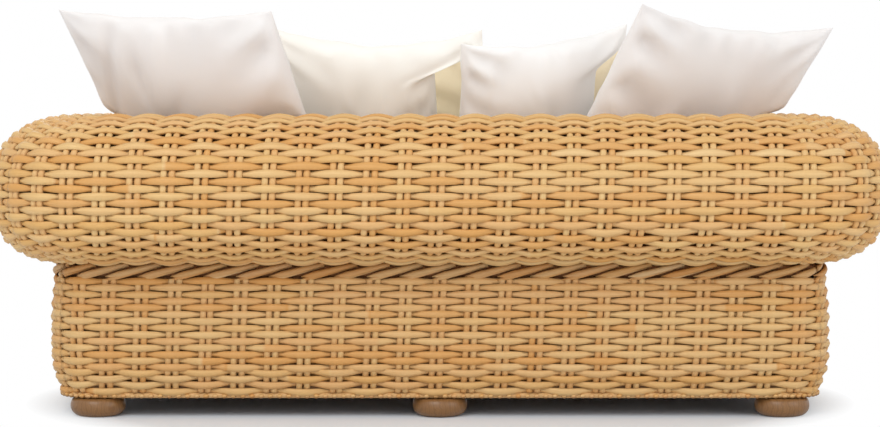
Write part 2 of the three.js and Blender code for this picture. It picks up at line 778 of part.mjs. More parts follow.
// The height at which a pillow stands on the seat, clear of the cushions also when they are drawn out.
function standingHeight(form, x) {
  let free = seatTop + fit;
  let held = seatTop - seatEdgeRadius;
  for (let i = 0; i < bisections; i += 1) {
    const half = (free + held) / 2;
    const solid = toSolid(pillowGeometry(pillowPoints(form, x, frontWall, half))).hull();
    if (seatPaths.some((path) => solid.intersect(path).volume() > 0)) held = half;
    else free = half;
  }
  return free + fit;
}

// Leans a pillow back from the seat's front edge until it rests on the roll, or on a pillow placed before it.
const restingPillows = [];
function leanedBack(form) {
  const x = form.acrossShare * (halfBase + seatSide);
  const stand = standingHeight(form, x);
  let free = frontWall;
  let held = rearWall;
  for (let i = 0; i < bisections; i += 1) {
    const half = (free + held) / 2;
    const points = pillowPoints(form, x, half, stand);
    let rests = points.deepest > pressDepth;
    if (!rests) {
      const solid = toSolid(pillowGeometry(points));
      rests = restingPillows.some((other) => solid.intersect(other).volume() > 0);
    }
    if (rests) held = half;
    else free = half;
  }
  const geometry = pillowGeometry(pillowPoints(form, x, free - 2 * fit, stand));
  restingPillows.push(toSolid(geometry));
  return geometry;
}

// Angles are in degrees: yaw turns a pillow towards its arm, lean tips it back, roll tips it sideways, and
// liftLean is how far back from upright it is drawn out. The ones that lie behind come first.
const pillows = [
  {
    name: "corner_pillow_left",
    width: cornerLeftPillowWidth,
    height: cornerLeftPillowHeight,
    thickness: cornerLeftPillowThickness,
    sagShares: [0.05, 0.05, 0.08, 0.06],
    earPower: 2,
    tuckShares: [0, 0],
    acrossShare: 0.805,
    yaw: -30,
    lean: 36,
    roll: -2,
    liftLean: 33,
  },
  {
    name: "corner_pillow_right",
    width: cornerRightPillowWidth,
    height: cornerRightPillowHeight,
    thickness: cornerRightPillowThickness,
    sagShares: [0.03, 0.06, 0.14, 0.06],
    earPower: 2,
    tuckShares: [0, 0],
    acrossShare: -0.85,
    yaw: 30,
    lean: 36,
    roll: -5,
    liftLean: 38,
  },
  {
    name: "middle_pillow_right",
    width: middleRightPillowWidth,
    height: middleRightPillowHeight,
    thickness: middleRightPillowThickness,
    sagShares: [0.03, 0.34, 0.13, 0.06],
    earPower: 6,
    tuckShares: [0, 0],
    acrossShare: -0.336,
    yaw: 20,
    lean: 30,
    roll: 8,
    liftLean: 38,
  },
  {
    name: "middle_pillow_left",
    width: middleLeftPillowWidth,
    height: middleLeftPillowHeight,
    thickness: middleLeftPillowThickness,
    sagShares: [0.1, 0.45, 0.19, 0.06],
    earPower: 7,
    tuckShares: [0, 1],
    acrossShare: 0.209,
    yaw: -10,
    lean: 30,
    roll: -2,
    liftLean: 30,
  },
  {
    name: "accent_pillow",
    width: accentPillowWidth,
    height: accentPillowHeight,
    thickness: accentPillowThickness,
    sagShares: [0.08, 0.08, 0.14, 0.06],
    earPower: 2,
    tuckShares: [0, 0],
    acrossShare: -0.277,
    yaw: 4,
    lean: 28,
    roll: 2,
    liftLean: 28,
  },
];
for (const form of pillows) {
  add(form.name, leanedBack(form), form.name === "accent_pillow" ? creamCloth : whiteCloth);
}

export default sofa;
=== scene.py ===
"""A woven garden sofa with a fat rolled back and arms, seen from behind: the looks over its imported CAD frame.

Metres, +Z up. The back faces +Y and the sitter's left is +X, as in the CAD model.
"""

import bpy
import numpy as np
from mathutils import Euler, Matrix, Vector


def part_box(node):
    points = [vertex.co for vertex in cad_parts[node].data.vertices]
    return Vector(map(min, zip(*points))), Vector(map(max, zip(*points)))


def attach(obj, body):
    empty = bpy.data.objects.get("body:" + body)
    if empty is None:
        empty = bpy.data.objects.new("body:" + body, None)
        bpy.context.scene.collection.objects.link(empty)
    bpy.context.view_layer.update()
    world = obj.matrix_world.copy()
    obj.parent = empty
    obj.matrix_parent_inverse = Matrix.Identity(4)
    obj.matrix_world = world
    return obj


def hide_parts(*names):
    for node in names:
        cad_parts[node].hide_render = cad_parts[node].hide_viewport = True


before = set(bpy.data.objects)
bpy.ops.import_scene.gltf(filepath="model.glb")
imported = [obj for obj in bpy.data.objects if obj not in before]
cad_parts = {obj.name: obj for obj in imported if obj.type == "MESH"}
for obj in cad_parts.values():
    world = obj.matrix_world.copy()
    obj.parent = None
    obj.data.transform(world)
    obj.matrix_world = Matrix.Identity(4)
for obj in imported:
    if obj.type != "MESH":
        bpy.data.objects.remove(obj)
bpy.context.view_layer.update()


# ---- Studio: a pale floor under a soft, even light, and the camera behind the sofa ----
# The floor is a large pale plane. It keeps the sofa's shadow near it and runs out to plain white further off.


class Signal:
    """One output of a material's node. Adding, multiplying and taking it from a number add a Math node."""

    def __init__(self, tree, socket):
        self.tree, self.socket = tree, socket

    def math(self, operation, first, second):
        return Finish.node_in(self.tree, "Math", {"operation": operation}, {0: first, 1: second})

    def __add__(self, other):
        return self.math("ADD", self, other)

    def __rsub__(self, other):
        return self.math("SUBTRACT", other, self)

    def __mul__(self, other):
        return self.math("MULTIPLY", self, other)

    __radd__, __rmul__ = __add__, __mul__


class Finish:
    """A material's node tree, with one method that adds any node and gives back one of its outputs."""

    def __init__(self, name, **shader):
        self.material = bpy.data.materials.new(name)
        self.material.use_nodes = True
        self.tree = self.material.node_tree
        self.shader = self.tree.nodes["Principled BSDF"]
        for socket, value in shader.items():
            self.set(socket.replace("_", " ").title().replace("Ior", "IOR"), value)

    @staticmethod
    def node_in(tree, kind, settings=None, inputs=None, output=0):
        """Adds a node with its settings, fills its sockets with values or links, and returns an output."""
        node = tree.nodes.new("ShaderNode" + kind)
        for key, value in (settings or {}).items():
            if key != "stops":
                setattr(node, key, value)
                continue
            ramp = node.color_ramp.elements
            while len(ramp) < len(value):
                ramp.new(0.5)
            for element, (place, colour) in zip(ramp, value):
                element.position, element.color = place, (*colour, 1)
        for key, value in (inputs or {}).items():
            if isinstance(value, Signal):
                tree.links.new(value.socket, node.inputs[key])
            else:
                node.inputs[key].default_value = value
        return Signal(tree, node.outputs[output])

    def node(self, kind, settings=None, inputs=None, output=0):
        return self.node_in(self.tree, kind, settings, inputs, output)

    def set(self, socket, value):
        if isinstance(value, Signal):
            self.tree.links.new(value.socket, self.shader.inputs[socket])
        else:
            self.shader.inputs[socket].default_value = value

    def place(self):
        return self.node("TexCoord", output="Object")

    def attribute(self, name, output="Fac"):
        return self.node("Attribute", {"attribute_name": name}, None, output)

    def noise(self, vector, scale, detail=2.0, stretch=(1, 1, 1)):
        """Noise from 0 to 1 whose pattern is scaled, and stretched where a share is below 1."""
        stretched = self.node("VectorMath", {"operation": "MULTIPLY"}, {0: vector, 1: stretch})
        return self.node("TexNoise", None, {"Vector": stretched, "Scale": scale, "Detail": detail})

    def blend(self, factor, first, second):
        """Mixes two colours, given as sRGB bytes or signals."""
        inputs = {0: factor, 6: as_colour(first), 7: as_colour(second)}
        return self.node("Mix", {"data_type": "RGBA"}, inputs, 2)

    def ramp(self, factor, *stops):
        """A colour ramp over places from 0 to 1 with sRGB byte colours."""
        stops = [(place, as_colour(colour)[:3]) for place, colour in stops]
        return self.node("ValToRGB", {"stops": stops}, {0: factor})

    def bump(self, height, strength, distance):
        inputs = {"Height": height, "Strength": strength, "Distance": distance}
        self.set("Normal", self.node("Bump", None, inputs))


def as_colour(value):
    """sRGB bytes as a linear colour with alpha; a signal stays as it is."""
    if isinstance(value, Signal):
        return value
    share = np.array(value) / 255
    linear = np.where(share < 0.04045, share / 12.92, ((share + 0.055) / 1.055) ** 2.4)
    return (*(float(c) for c in linear), 1.0)


def piece_of(name, points, faces, finish=None, smooth=True, **attributes):
    """A new object from points, faces and a value or vector for each point under each attribute's name."""
    mesh = bpy.data.meshes.new(name)
    mesh.from_pydata(np.asarray(points, float).reshape(-1, 3), [], faces)
    for key, values in attributes.items():
        values = np.asarray(values, np.float32)
        vector = values.ndim > 1
        layer = mesh.attributes.new(key, "FLOAT_VECTOR" if vector else "FLOAT", "POINT")
        layer.data.foreach_set("vector" if vector else "value", values.ravel())
    mesh.polygons.foreach_set("use_smooth", np.full(len(mesh.polygons), smooth))
    mesh.update()
    piece = bpy.data.objects.new(name, mesh)
    bpy.context.scene.collection.objects.link(piece)
    if finish:
        mesh.materials.append(finish.material)
    return piece


def lamp(name, place, aim, size, power):
    light = bpy.data.lights.new(name, "AREA")
    light.size, light.energy = size, power
    holder = bpy.data.objects.new(name, light)
    bpy.context.scene.collection.objects.link(holder)
    holder.location = place
    holder.rotation_euler = (Vector(aim) - Vector(place)).to_track_quat("-Z", "Y").to_euler()


# The camera stands behind the sofa, about as high as the roll's crown, and looks down a little (degrees). Its
# lens, place and tilt come from fitting the outlines of the roll, the base and the feet.
CAMERA_AWAY, CAMERA_HEIGHT, CAMERA_LENS, CAMERA_DOWN = 5.133, 0.741, 82.47, 2.995
FLOOR_REACH = 30
FADE_START, FADE_END = 0.88, 1.03  # how far out the floor turns to plain white

scene = bpy.context.scene
scene.view_settings.view_transform = "Standard"

camera = bpy.data.objects.new("camera", bpy.data.cameras.new("camera"))
scene.collection.objects.link(camera)
camera.location = (0, CAMERA_AWAY, CAMERA_HEIGHT)
camera.data.lens = CAMERA_LENS
camera.rotation_euler = (np.radians(90 - CAMERA_DOWN), 0, np.pi)
scene.camera = camera

world = bpy.data.worlds.new("studio")
scene.world = world
world.use_nodes = True
sky = world.node_tree
seen = Finish.node_in(sky, "LightPath", output="Is Camera Ray")
glossy = Finish.node_in(sky, "LightPath", output="Is Glossy Ray")
clear = Finish.node_in(sky, "LightPath", output="Is Transmission Ray")
white = Finish.node_in(sky, "Math", {"operation": "MAXIMUM"}, {0: seen, 1: clear})
sky.nodes["Background"].inputs["Color"].default_value = (1, 1, 1, 1)
level = 0.70 + white * 0.30 + glossy * 0.2
sky.links.new(level.socket, sky.nodes["Background"].inputs["Strength"])

floor_finish = Finish("pale floor", roughness=0.9)
floor_finish.set("Base Color", (0.84, 0.90, 0.97, 1))
oval = {0: floor_finish.place(), 1: (0.98, 1.33, 0)}
squeezed = floor_finish.node("VectorMath", {"operation": "MULTIPLY"}, oval)
far = floor_finish.node("VectorMath", {"operation": "LENGTH"}, {0: squeezed}, "Value")
looked_at = floor_finish.node("LightPath", output="Is Camera Ray")
fade = floor_finish.node("MapRange", None, {"Value": far, "From Min": FADE_START, "From Max": FADE_END})
glow = floor_finish.node("Emission", None, {"Color": (1, 1, 1, 1), "Strength": 1.0})
shown = Signal(floor_finish.tree, floor_finish.shader.outputs[0])
mixed = floor_finish.node("MixShader", None, {0: fade * looked_at, 1: shown, 2: glow})
floor_finish.tree.links.new(mixed.socket, floor_finish.tree.nodes["Material Output"].inputs[0])
floor_corners = [[x * FLOOR_REACH, y * FLOOR_REACH, 0] for x, y in ((-1, -1), (1, -1), (1, 1), (-1, 1))]
floor = piece_of("floor", floor_corners, [(0, 1, 2, 3)], floor_finish)

lamp("key", (1.6, 3.6, 3.4), (0, 0, 0.4), 2.6, 76)
lamp("fill", (-3.2, 2.6, 1.8), (0, 0, 0.4), 2.4, 28)
lamp("low", (0.6, 4.6, 0.7), (0, 0, 0.6), 2.4, 12)
lamp("front", (0.5, -4.0, 3.0), (0, 0, 0.4), 2.6, 60)


# ---- Feet: six squat turned buns of oiled hardwood ----
# Each is turned in one piece with a neck that stands up inside the base wall, and an M8 bolt through the
# foot rail holds it. The grain runs up the foot.

foot_wood = Finish("turned hardwood", specular_ior_level=0.5)
upright = foot_wood.place()
rings = foot_wood.node(
    "TexWave",
    {"wave_type": "BANDS", "bands_direction": "X"},
    {"Vector": upright, "Scale": 26.0, "Distortion": 9.0, "Detail": 3.0, "Detail Scale": 1.2},
)
pores = foot_wood.noise(upright, 420, 4, (1, 1, 0.08))
stain = foot_wood.noise(upright, 14, 3)
grain = foot_wood.ramp(rings, (0.0, (126, 88, 50)), (0.55, (142, 103, 61)), (1.0, (133, 94, 55)))
foot_wood.set("Base Color", foot_wood.blend(stain * 0.35, grain, (112, 76, 42)))
foot_wood.set("Roughness", 0.24 + pores * 0.2)
foot_wood.bump(pores, 0.15, 0.001)


def xyz(x, y, z):
    """Points or directions from three coordinates, each a number or an array."""
    return np.stack(np.broadcast_arrays(x, y, z), -1)


def turned(profile, segments, x, y):
    """A lathe's surface: every profile point's radius swept round the upright axis at x and y."""
    turn = np.linspace(0, 2 * np.pi, segments, endpoint=False)
    radius, height = np.array(profile).T[:, :, None]
    across = xyz(radius * np.cos(turn), radius * np.sin(turn), height)
    return across + [x, y, 0]


def grid_faces(rows, columns, closed=False, shift=0):
    """Quads between neighbouring points of a grid that is stored row by row, its columns closed or open."""
    row = np.arange(rows - 1)[:, None] * columns
    column = np.arange(columns if closed else columns - 1)[None, :]
    beside = (column + 1) % columns
    quads = [row + column, row + beside, row + beside + columns, row + column + columns]
    return np.stack(quads, -1).reshape(-1, 4) + shift


FOOT_SEGMENTS = 56
BELLY_HEIGHT = 0.025
NECK_RADIUS, NECK_TOP, BOLT_HOLE = 0.038, 0.058, 0.0046


def belly(angle):
    """Radius and height on the belly: a full round below its widest ring and a flatter one above it."""
    swell = np.cos(np.radians(angle))
    radius = 0.040 + 0.026 * max(swell, 0) ** 0.9 if angle < 0 else 0.054 + 0.012 * swell
    return radius, BELLY_HEIGHT + (0.025 if angle < 0 else 0.0197) * np.sin(np.radians(angle))


sole = [(0.0004, 0.0), (0.036, 0.0)]
neck = [(0.0384, 0.0447), (NECK_RADIUS, 0.046), (NECK_RADIUS, NECK_TOP), (BOLT_HOLE, NECK_TOP)]
foot_profile = [*sole, *(belly(angle) for angle in np.linspace(-90, 90, 21)), *neck]
foot_faces = grid_faces(len(foot_profile), FOOT_SEGMENTS, True).tolist()
for foot in ["rear_left", "rear_mid", "rear_right", "front_left", "front_mid", "front_right"]:
    low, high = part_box(f"foot_{foot}")
    middle = (low + high) / 2
    shape = turned(foot_profile, FOOT_SEGMENTS, middle.x, middle.y)
    bun = piece_of(f"bun_foot_{foot}", shape, foot_faces, foot_wood)
    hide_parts(f"foot_{foot}")
    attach(bun, "frame")


# ---- Frame: welded aluminium tube, hidden by the weave ----
# Square rails and posts, round hoops and stringers, powder coated in the rattan's colour so that gaps in the
# weave don't show it. Plain steel bolts hold the feet.

tube_coat = Finish("powder coated tube", metallic=0.2)
speckle = tube_coat.noise(tube_coat.place(), 900, 2)
tube_coat.set("Base Color", tube_coat.ramp(speckle, (0.3, (120, 84, 50)), (0.7, (150, 108, 68))))
tube_coat.set("Roughness", 0.42 + speckle * 0.2)
tube_coat.bump(speckle, 0.2, 0.0004)

bolt_steel = Finish("bright steel", metallic=1.0)
turning = bolt_steel.noise(bolt_steel.place(), 700, 2, (1, 1, 0.1))
bolt_steel.set("Base Color", bolt_steel.ramp(turning, (0.3, (150, 150, 148)), (0.7, (190, 190, 188))))
bolt_steel.set("Roughness", 0.25 + turning * 0.25)

for name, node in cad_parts.items():
    kind = next((k for k in ["rail", "post", "hoop", "stringer", "bearer", "foot_bolt"] if k in name), None)
    if kind:
        node.data.materials.clear()
        node.data.materials.append((bolt_steel if kind == "foot_bolt" else tube_coat).material)
        node.data.polygons.foreach_set("material_index", np.zeros(len(node.data.polygons), int))


# ---- Woven rattan: the rolled back and arms ----
# Peeled rattan strands, 12 mm thick and up to 19 mm wide, weave over and under pairs of upright stakes. The
# rows run level along the back and round both arms. The pairs climb the roll's belly, cross its crown and go
# down to the seat.

# The base wall in plan: half its width, its rear and front, and the radii of its rear and front corners
HALF, REAR, REAR_BEND, FRONT, FRONT_BEND = 0.940, 0.355, 0.108, -0.480, 0.055
TIGHTEST = 0.004  # the least radius of a corner
PAIR = 0.078  # from one pair of stakes to the next
LEAN = 0.045  # how far the pairs drift along a row for each metre up the section

# The roll's section about its crown line, which runs at an offset from the base wall
CROWN_LINE, ROLL_MIDDLE = -0.059, 0.5455
ROLL_OUTSIDE, ROLL_INSIDE, ROLL_RISE = 0.209, 0.150, 0.1835
BELLY_POWER, CROWN_POWER = 2.6, 2.28
ROLL_NECK = -0.045  # the offset where the belly starts
SEAT_FOOT = 0.340  # how far down the roll's inner side goes
ROLL_INSET = 0.015  # from the roll's skin in to the middle of the weave

# Half sizes of a weaver and of a stake, and how far a weaver swings over and under and a stake gives way
WEAVER_DEEP, WEAVER_SWING = 0.0062, 0.0080
STAKE_DEEP, STAKE_WIDE, STAKE_GIVE, STAKE_HALF_GAP = 0.0068, 0.0080, 0.0026, 0.0091
FIBRE_RADIUS = 0.007
FULL_TURN = 6.28
UP = (0, 0, 1)
rng = np.random.default_rng(7)


def rear_bend(offset):
    """The radius of the rear corners at an offset from the wall."""
    return np.maximum(REAR_BEND + offset, TIGHTEST)


def plan(run, offset, reference, front=False):
    """Plan point and outward direction at a run along the wall's outline, moved outwards by an offset.

    The run starts at the middle of the back, goes along it, round an arc at the corner (measured at the
    reference offset), and straight down the side; with front, it goes on round the front corner and along the
    front. A minus sign mirrors it.
    """
    side, a = np.sign(run), np.abs(run)
    bend = rear_bend(offset)
    start = HALF - REAR_BEND
    arc = (REAR_BEND + reference) * np.pi / 2
    turn = np.clip((a - start) / arc, 0, 1) * np.pi / 2
    near_x, near_y = HALF + offset - bend, REAR + offset - bend
    x = np.where(a <= start, np.minimum(a, near_x), near_x + bend * np.sin(turn))
    down = REAR - REAR_BEND - (a - start - arc)
    y = np.where(a >= start + arc, np.minimum(down, near_y), near_y + bend * np.cos(turn))
    front_bend = np.maximum(FRONT_BEND + offset, TIGHTEST)
    front_arc = (FRONT_BEND + reference) * np.pi / 2
    past = down - (FRONT + FRONT_BEND)
    front_turn = np.clip(-past / front_arc, 0, 1) * np.pi / 2
    far_x, far_y = HALF + offset - front_bend, FRONT - offset + front_bend
    left = -past - front_arc
    on_front = (past < 0) & front
    straight = np.minimum(HALF - FRONT_BEND - left, far_x)
    x = np.where(on_front, np.where(left > 0, straight, far_x + front_bend * np.cos(front_turn)), x)
    y = np.where(on_front, far_y - front_bend * np.sin(front_turn), y)
    out = np.where(on_front, np.pi / 2 + front_turn, turn)
    return side * x, y, side * np.sin(out), np.cos(out)


def tubes(centre, outward, across, deep, wide, sides=6, keep=None, tone=0.5):
    """Closed tubes round rows of centre points, with caps, as points, quads and attributes.

    Each ring is centre + outward·deep·cos + across·wide·sin. Centre is strands x rings x 3, and outward and
    across are the same or one direction for all. Keep says which rings a strand has, and it is cut to its first
    and last kept ring.
    """
    strands, count, _ = centre.shape
    outward, across = (np.broadcast_to(way, centre.shape) for way in (outward, across))
    turn = np.arange(sides) * 2 * np.pi / sides
    ones = np.ones((strands, count))
    deep, wide = (ones * deep)[..., None, None], (ones * wide)[..., None, None]
    ring = centre[:, :, None] + outward[:, :, None] * deep * np.cos(turn)[:, None]
    ring = ring + across[:, :, None] * wide * np.sin(turn)[:, None]
    keep = ones > 0 if keep is None else keep
    first = np.argmax(keep, 1)
    last = count - 1 - np.argmax(keep[:, ::-1], 1)
    index = np.arange(strands * count * sides).reshape(strands, count, sides)
    a, b = index[:, :-1], index[:, 1:]
    quads = np.stack([a, np.roll(a, -1, 2), np.roll(b, -1, 2), b], -1)
    quads = quads[keep[:, :-1] & keep[:, 1:]].reshape(-1, 4)
    who = np.arange(strands)[keep.any(1)]
    caps = []
    for end, order in ((first, -1), (last, 1)):
        loop = index[who, end[who]][:, ::order]
        for k in range(1, sides - 2, 2):
            caps.append(loop[:, [0, k, k + 1, k + 2]])
    steps = np.linalg.norm(np.diff(centre, axis=1), axis=2)
    length = np.concatenate([np.zeros((strands, 1)), np.cumsum(steps, 1)], 1)
    salt = rng.random((strands, 1)) * 40
    around = FIBRE_RADIUS * np.cos(turn) + (salt * 3.1)[..., None]
    fibre = xyz((length + salt)[..., None], around, FIBRE_RADIUS * np.sin(turn))
    tone = (ones * tone)[..., None] + 0 * turn
    # proud is 1 on a tube's outward face and 0 on its inward face; the rattan finishes paint shade on the
    # inward side from it.
    deep_share = 0.5 + 0.5 * np.cos(turn) + 0 * length[..., None]
    faces = np.concatenate([quads, *caps])
    used = np.zeros(strands * count * sides, bool)
    used[faces] = True
    renumber = np.cumsum(used) - 1
    return {
        "points": ring.reshape(-1, 3)[used],
        "faces": renumber[faces],
        "tone": tone.ravel()[used],
        "fibre": fibre.reshape(-1, 3)[used],
        "proud": deep_share.ravel()[used],
    }


def bundle(name, groups, finish, *nodes, slot="weave", body="frame"):
    """One piece from several groups of tubes, standing for the nodes named."""
    shift = np.cumsum([0] + [len(g["points"]) for g in groups])
    faces = np.concatenate([g["faces"] + s for g, s in zip(groups, shift)])
    joined = {key: np.concatenate([g[key] for g in groups]) for key in ("tone", "fibre", "proud")}
    points = np.concatenate([g["points"] for g in groups])
    piece = piece_of(name, points, faces.tolist(), finish, **joined)
    if nodes:
        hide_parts(*nodes)
    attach(piece, body)


def lengths_along(points):
    """The length from the first point of a line to each of its points."""
    return np.concatenate([[0], np.cumsum(np.linalg.norm(np.diff(points, axis=0), axis=1))])


def at_lengths(at, length, points):
    """Points at the given lengths along a line whose points lie at length."""
    return np.stack([np.interp(at, length, points[:, k]) for k in (0, 1)], -1)


def section_curve(points, inset=0.0):
    """A section's length, and its offset, height and smoothed direction as a function of length along it."""
    points = np.array(points)
    length = lengths_along(points)
    even = np.linspace(0, length[-1], 400)
    o, z = at_lengths(even, length, points).T
    to, tz = np.gradient(o), np.gradient(z)
    size = np.hypot(to, tz)
    to, tz = to / size, tz / size
    for _ in range(6):
        to, tz = (np.convolve(np.pad(c, 2, "edge"), np.ones(5) / 5, "valid") for c in (to, tz))
    size = np.hypot(to, tz)
    to, tz = to / size, tz / size
    columns = np.stack([o - tz * inset, z + to * inset, to, tz])
    return even[-1], lambda t: np.stack([np.interp(t, even, c) for c in columns])


def sheet(name, outer, inner, finish, node, closed=False):
    """A closed thin sheet between two grids of points; a closed one's rows are rings round a middle."""
    rows, columns = outer.shape[:2]
    count = rows * columns
    faces = grid_faces(rows, columns, closed)
    index = np.arange(count).reshape(rows, columns)
    faces = np.concatenate([faces[:, ::-1], faces + count])
    caps = []
    if closed:
        loop, ahead = index[-1, ::-1], np.roll(index[-1, ::-1], -1)
        caps = [index[0].tolist(), (index[0, ::-1] + count).tolist()]
    else:
        loop = np.concatenate([index[0, :-1], index[:-1, -1], index[-1, :0:-1], index[:0:-1, 0]])
        ahead = np.roll(loop, -1)
    rim = np.stack([loop, ahead, ahead + count, loop + count], -1)
    points = np.concatenate([outer.reshape(-1, 3), inner.reshape(-1, 3)])
    piece = piece_of(name, points, np.concatenate([faces, rim]).tolist() + caps, finish)
    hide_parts(node)
    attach(piece, "frame")


def along_section(runs, section, reference, front=False):
    """A grid of points over a section curve: rows up the section, columns along the runs."""
    length, curve = section
    t = np.linspace(0, length, 60)[:, None]
    o, z, _, _ = curve(t + 0 * runs)
    x, y, _, _ = plan(runs[None, :] + 0 * t, o, reference, front)
    return xyz(x, y, z)


def roll_points(inset):
    """The roll's outline from its neck round the belly and over the crown, as quarters of superellipses."""
    outside, inside, rise = ROLL_OUTSIDE - inset, ROLL_INSIDE - inset, ROLL_RISE - inset
    start = -np.arccos(((ROLL_NECK - CROWN_LINE) / outside) ** (BELLY_POWER / 2))
    quarters = [
        (outside, start, 0, BELLY_POWER),
        (outside, 0, np.pi / 2, CROWN_POWER),
        (inside, np.pi / 2, np.pi, CROWN_POWER),
    ]
    curve = []
    for across, low, high, power in quarters:
        angle = np.linspace(low, high, 120)
        reach = np.abs(np.cos(angle)) ** (2 / power) * np.sign(np.cos(angle))
        climb = np.abs(np.sin(angle)) ** (2 / power) * np.sign(np.sin(angle))
        curve += list(zip(CROWN_LINE + across * reach, ROLL_MIDDLE + rise * climb))
    return curve


def roll_section(inset, foot=SEAT_FOOT):
    """The roll's outline with its inner side carried straight down to the height of its foot."""
    return roll_points(inset) + [(CROWN_LINE - ROLL_INSIDE + inset, foot)]


def three_hands(mitre, end):
    """The runs of the back, the left and the right piece of what goes round the back and both arms."""
    return ("back", -mitre, mitre), ("left", mitre, end), ("right", -end, -mitre)


def over_under(runs, heights, curve, reference, phase, pitch, seed, front=False, body=0.0090, swell=0.0020):
    """Rows of weavers, as tubes: offset = swing·cos(π·(pair + row)) from the middle line, both counted.

    Runs are the places along a row, heights the rows' places up the section. Strands change colour where one
    ends and the next starts, and each row wanders a little up and down.
    """
    chance = np.random.default_rng(seed)
    count = len(heights)
    row = np.arange(count)[:, None]
    t = heights[:, None] + 0 * runs[None, :]
    wander = sum(
        chance.normal(0, 0.0006, (count, 1)) * np.sin(runs[None, :] * k + chance.random((count, 1)) * FULL_TURN)
        for k in (3.1, 7.7, 19.0)
    )
    o, z, to, tz = curve(t + wander)
    pair = (runs[None, :] - phase + LEAN * t) / pitch
    bend = rear_bend(o) / (REAR_BEND + reference)
    a = np.abs(runs)[None, :]
    arc = (REAR_BEND + reference) * np.pi / 2
    inside = np.clip((a - HALF + REAR_BEND) / 0.02 + 0.5, 0, 1)
    inside = inside * np.clip((HALF - REAR_BEND + arc - a) / 0.02 + 0.5, 0, 1)
    fade = 1 - inside * (1 - np.clip(bend * 1.15, 0.1, 1) ** 0.5)
    wave = np.cos(np.pi * (pair + row)) * fade
    x, y, dx, dy = plan(runs[None, :] + 0 * t, o, reference, front)
    normal = xyz(dx * tz, dy * tz, -to)
    across = xyz(dx * to, dy * to, tz)
    swing = wave * WEAVER_SWING * chance.normal(1, 0.05, (count, 1))
    centre = xyz(x, y, z) + normal * swing[..., None]
    spliced = np.floor(runs[None, :] / chance.uniform(0.5, 1.1, (count, 1)) + chance.random((count, 1)) * 9)
    table = chance.random((count, 64))
    tone = table[row, (spliced.astype(int) + 20) % 64]
    tone = tone * 0.86 + 0.14 * chance.random((count, 1))
    over = np.cos(np.pi * (pair + row))
    behind = np.clip((-0.8 - over) / 0.15, 0, 1)
    wide = body + (swell * over + 0.0020 * behind) * (0.35 + 0.65 * fade) - 0.0008 * (1 - fade)
    return tubes(centre, normal, across, WEAVER_DEEP, wide, tone=tone)


def stakes(numbers, curve, length, row_pitch, reference, phase, pitch, seed, front=False, limits=None):
    """Pairs of stakes up a section, 18 mm apart, giving way to each weaver that passes over them.

    Where a corner narrows them too much, every other pair ends. Limits cut the pairs off at the ends of the
    runs.
    """
    chance = np.random.default_rng(seed)
    t = np.arange(0, length, row_pitch / 2)
    numbers = np.repeat(numbers, 2)
    which = np.tile([-1.0, 1.0], len(numbers) // 2)
    t = t[None, :] + 0 * numbers[:, None]
    o, z, to, tz = curve(t)
    run = phase + numbers[:, None] * pitch - LEAN * t
    bend = rear_bend(o) / (REAR_BEND + reference)
    a = np.abs(run)
    arc = (REAR_BEND + reference) * np.pi / 2
    corner = (a > HALF - REAR_BEND) & (a < HALF - REAR_BEND + arc)
    half_gap = np.where(corner, np.clip(0.0090 / np.maximum(bend, 0.3), 0, 0.018), STAKE_HALF_GAP)
    run = run + which[:, None] * half_gap + chance.normal(0, 0.0007, (len(numbers), 1))
    a = np.abs(run)
    keep = np.where(corner, bend > np.where(numbers[:, None] % 2 == 0, 0.42, 0.24), True)
    near = HALF + o - rear_bend(o)
    keep &= (a < near + TIGHTEST) | (a > HALF - REAR_BEND)
    side_start = HALF - REAR_BEND + arc
    down = REAR - REAR_BEND - (a - side_start)
    keep &= (a < side_start) | (down < REAR + o - rear_bend(o) + TIGHTEST)
    if limits is not None:
        keep &= (run > limits[0]) & (run < limits[1])
    x, y, dx, dy = plan(run, o, reference, front)
    normal = xyz(dx * tz, dy * tz, -to)
    beside = xyz(dy, -dx, 0)
    row = t / row_pitch - 0.5
    give = -STAKE_GIVE * np.cos(np.pi * (numbers[:, None] + row))
    centre = xyz(x, y, z) + normal * give[..., None]
    tone = 0.25 + 0.5 * chance.random((len(numbers), 1))
    keep[keep.sum(1) < 3] = False
    chosen = keep.any(1)
    chosen_tone = tone[chosen] + 0 * t[chosen]
    return tubes(
        centre[chosen], normal[chosen], beside[chosen], STAKE_DEEP, STAKE_WIDE, 8, keep[chosen], chosen_tone
    )


RATTAN_TONES = [
    (0.0, (226, 178, 106)), (0.3, (236, 204, 144)), (0.55, (232, 190, 132)), (0.8, (222, 164, 90)),
    (1.0, (243, 218, 164)),
]
rattan = Finish("peeled rattan", specular_ior_level=0.42)


def rattan_colours(finish, darker=1.0, shade_share=0.0):
    """Colour from each strand's tone and streaks along its fibres, with painted shade: darker inward sides, and
    a share of brown over the whole.
    """
    fibre, tone = finish.attribute("fibre", "Vector"), finish.attribute("tone")
    proud = finish.attribute("proud")
    base = finish.ramp(tone, *RATTAN_TONES)
    streak = finish.noise(fibre, 1.0, 3, (9, 420, 420))
    patch = finish.noise(fibre, 1.0, 2, (14, 5, 5))
    coat = finish.blend(streak * 0.5, base, (176, 122, 58))
    coat = finish.blend(patch * 0.35, coat, (206, 150, 84))
    # Painted shade: the share given for a part darkens its whole coat to brown, for a part that lies in shade.
    coat = finish.blend(shade_share, coat, (140, 76, 34))
    # Painted shade: each strand's inward side, where proud is low, darkens to brown to stand for the shade in
    # the weave's recesses.
    side = finish.node("MapRange", None, {"Value": proud, "From Min": 0.1, "From Max": 0.75})
    finish.set("Base Color", finish.blend((1 - side) * 0.62 * darker, coat, (112, 66, 32)))
    finish.set("Roughness", 0.42 + streak * 0.2)
    finish.bump(streak, 0.25, 0.0008)


rattan_colours(rattan)
# Painted shade: the base's rattan is a copy of the roll's with a share of brown over all, for the shade the
# base lies in.
base_rattan_in_shade = Finish("peeled rattan of the base in painted shade", specular_ior_level=0.42)
rattan_colours(base_rattan_in_shade, 1.0, 0.10)
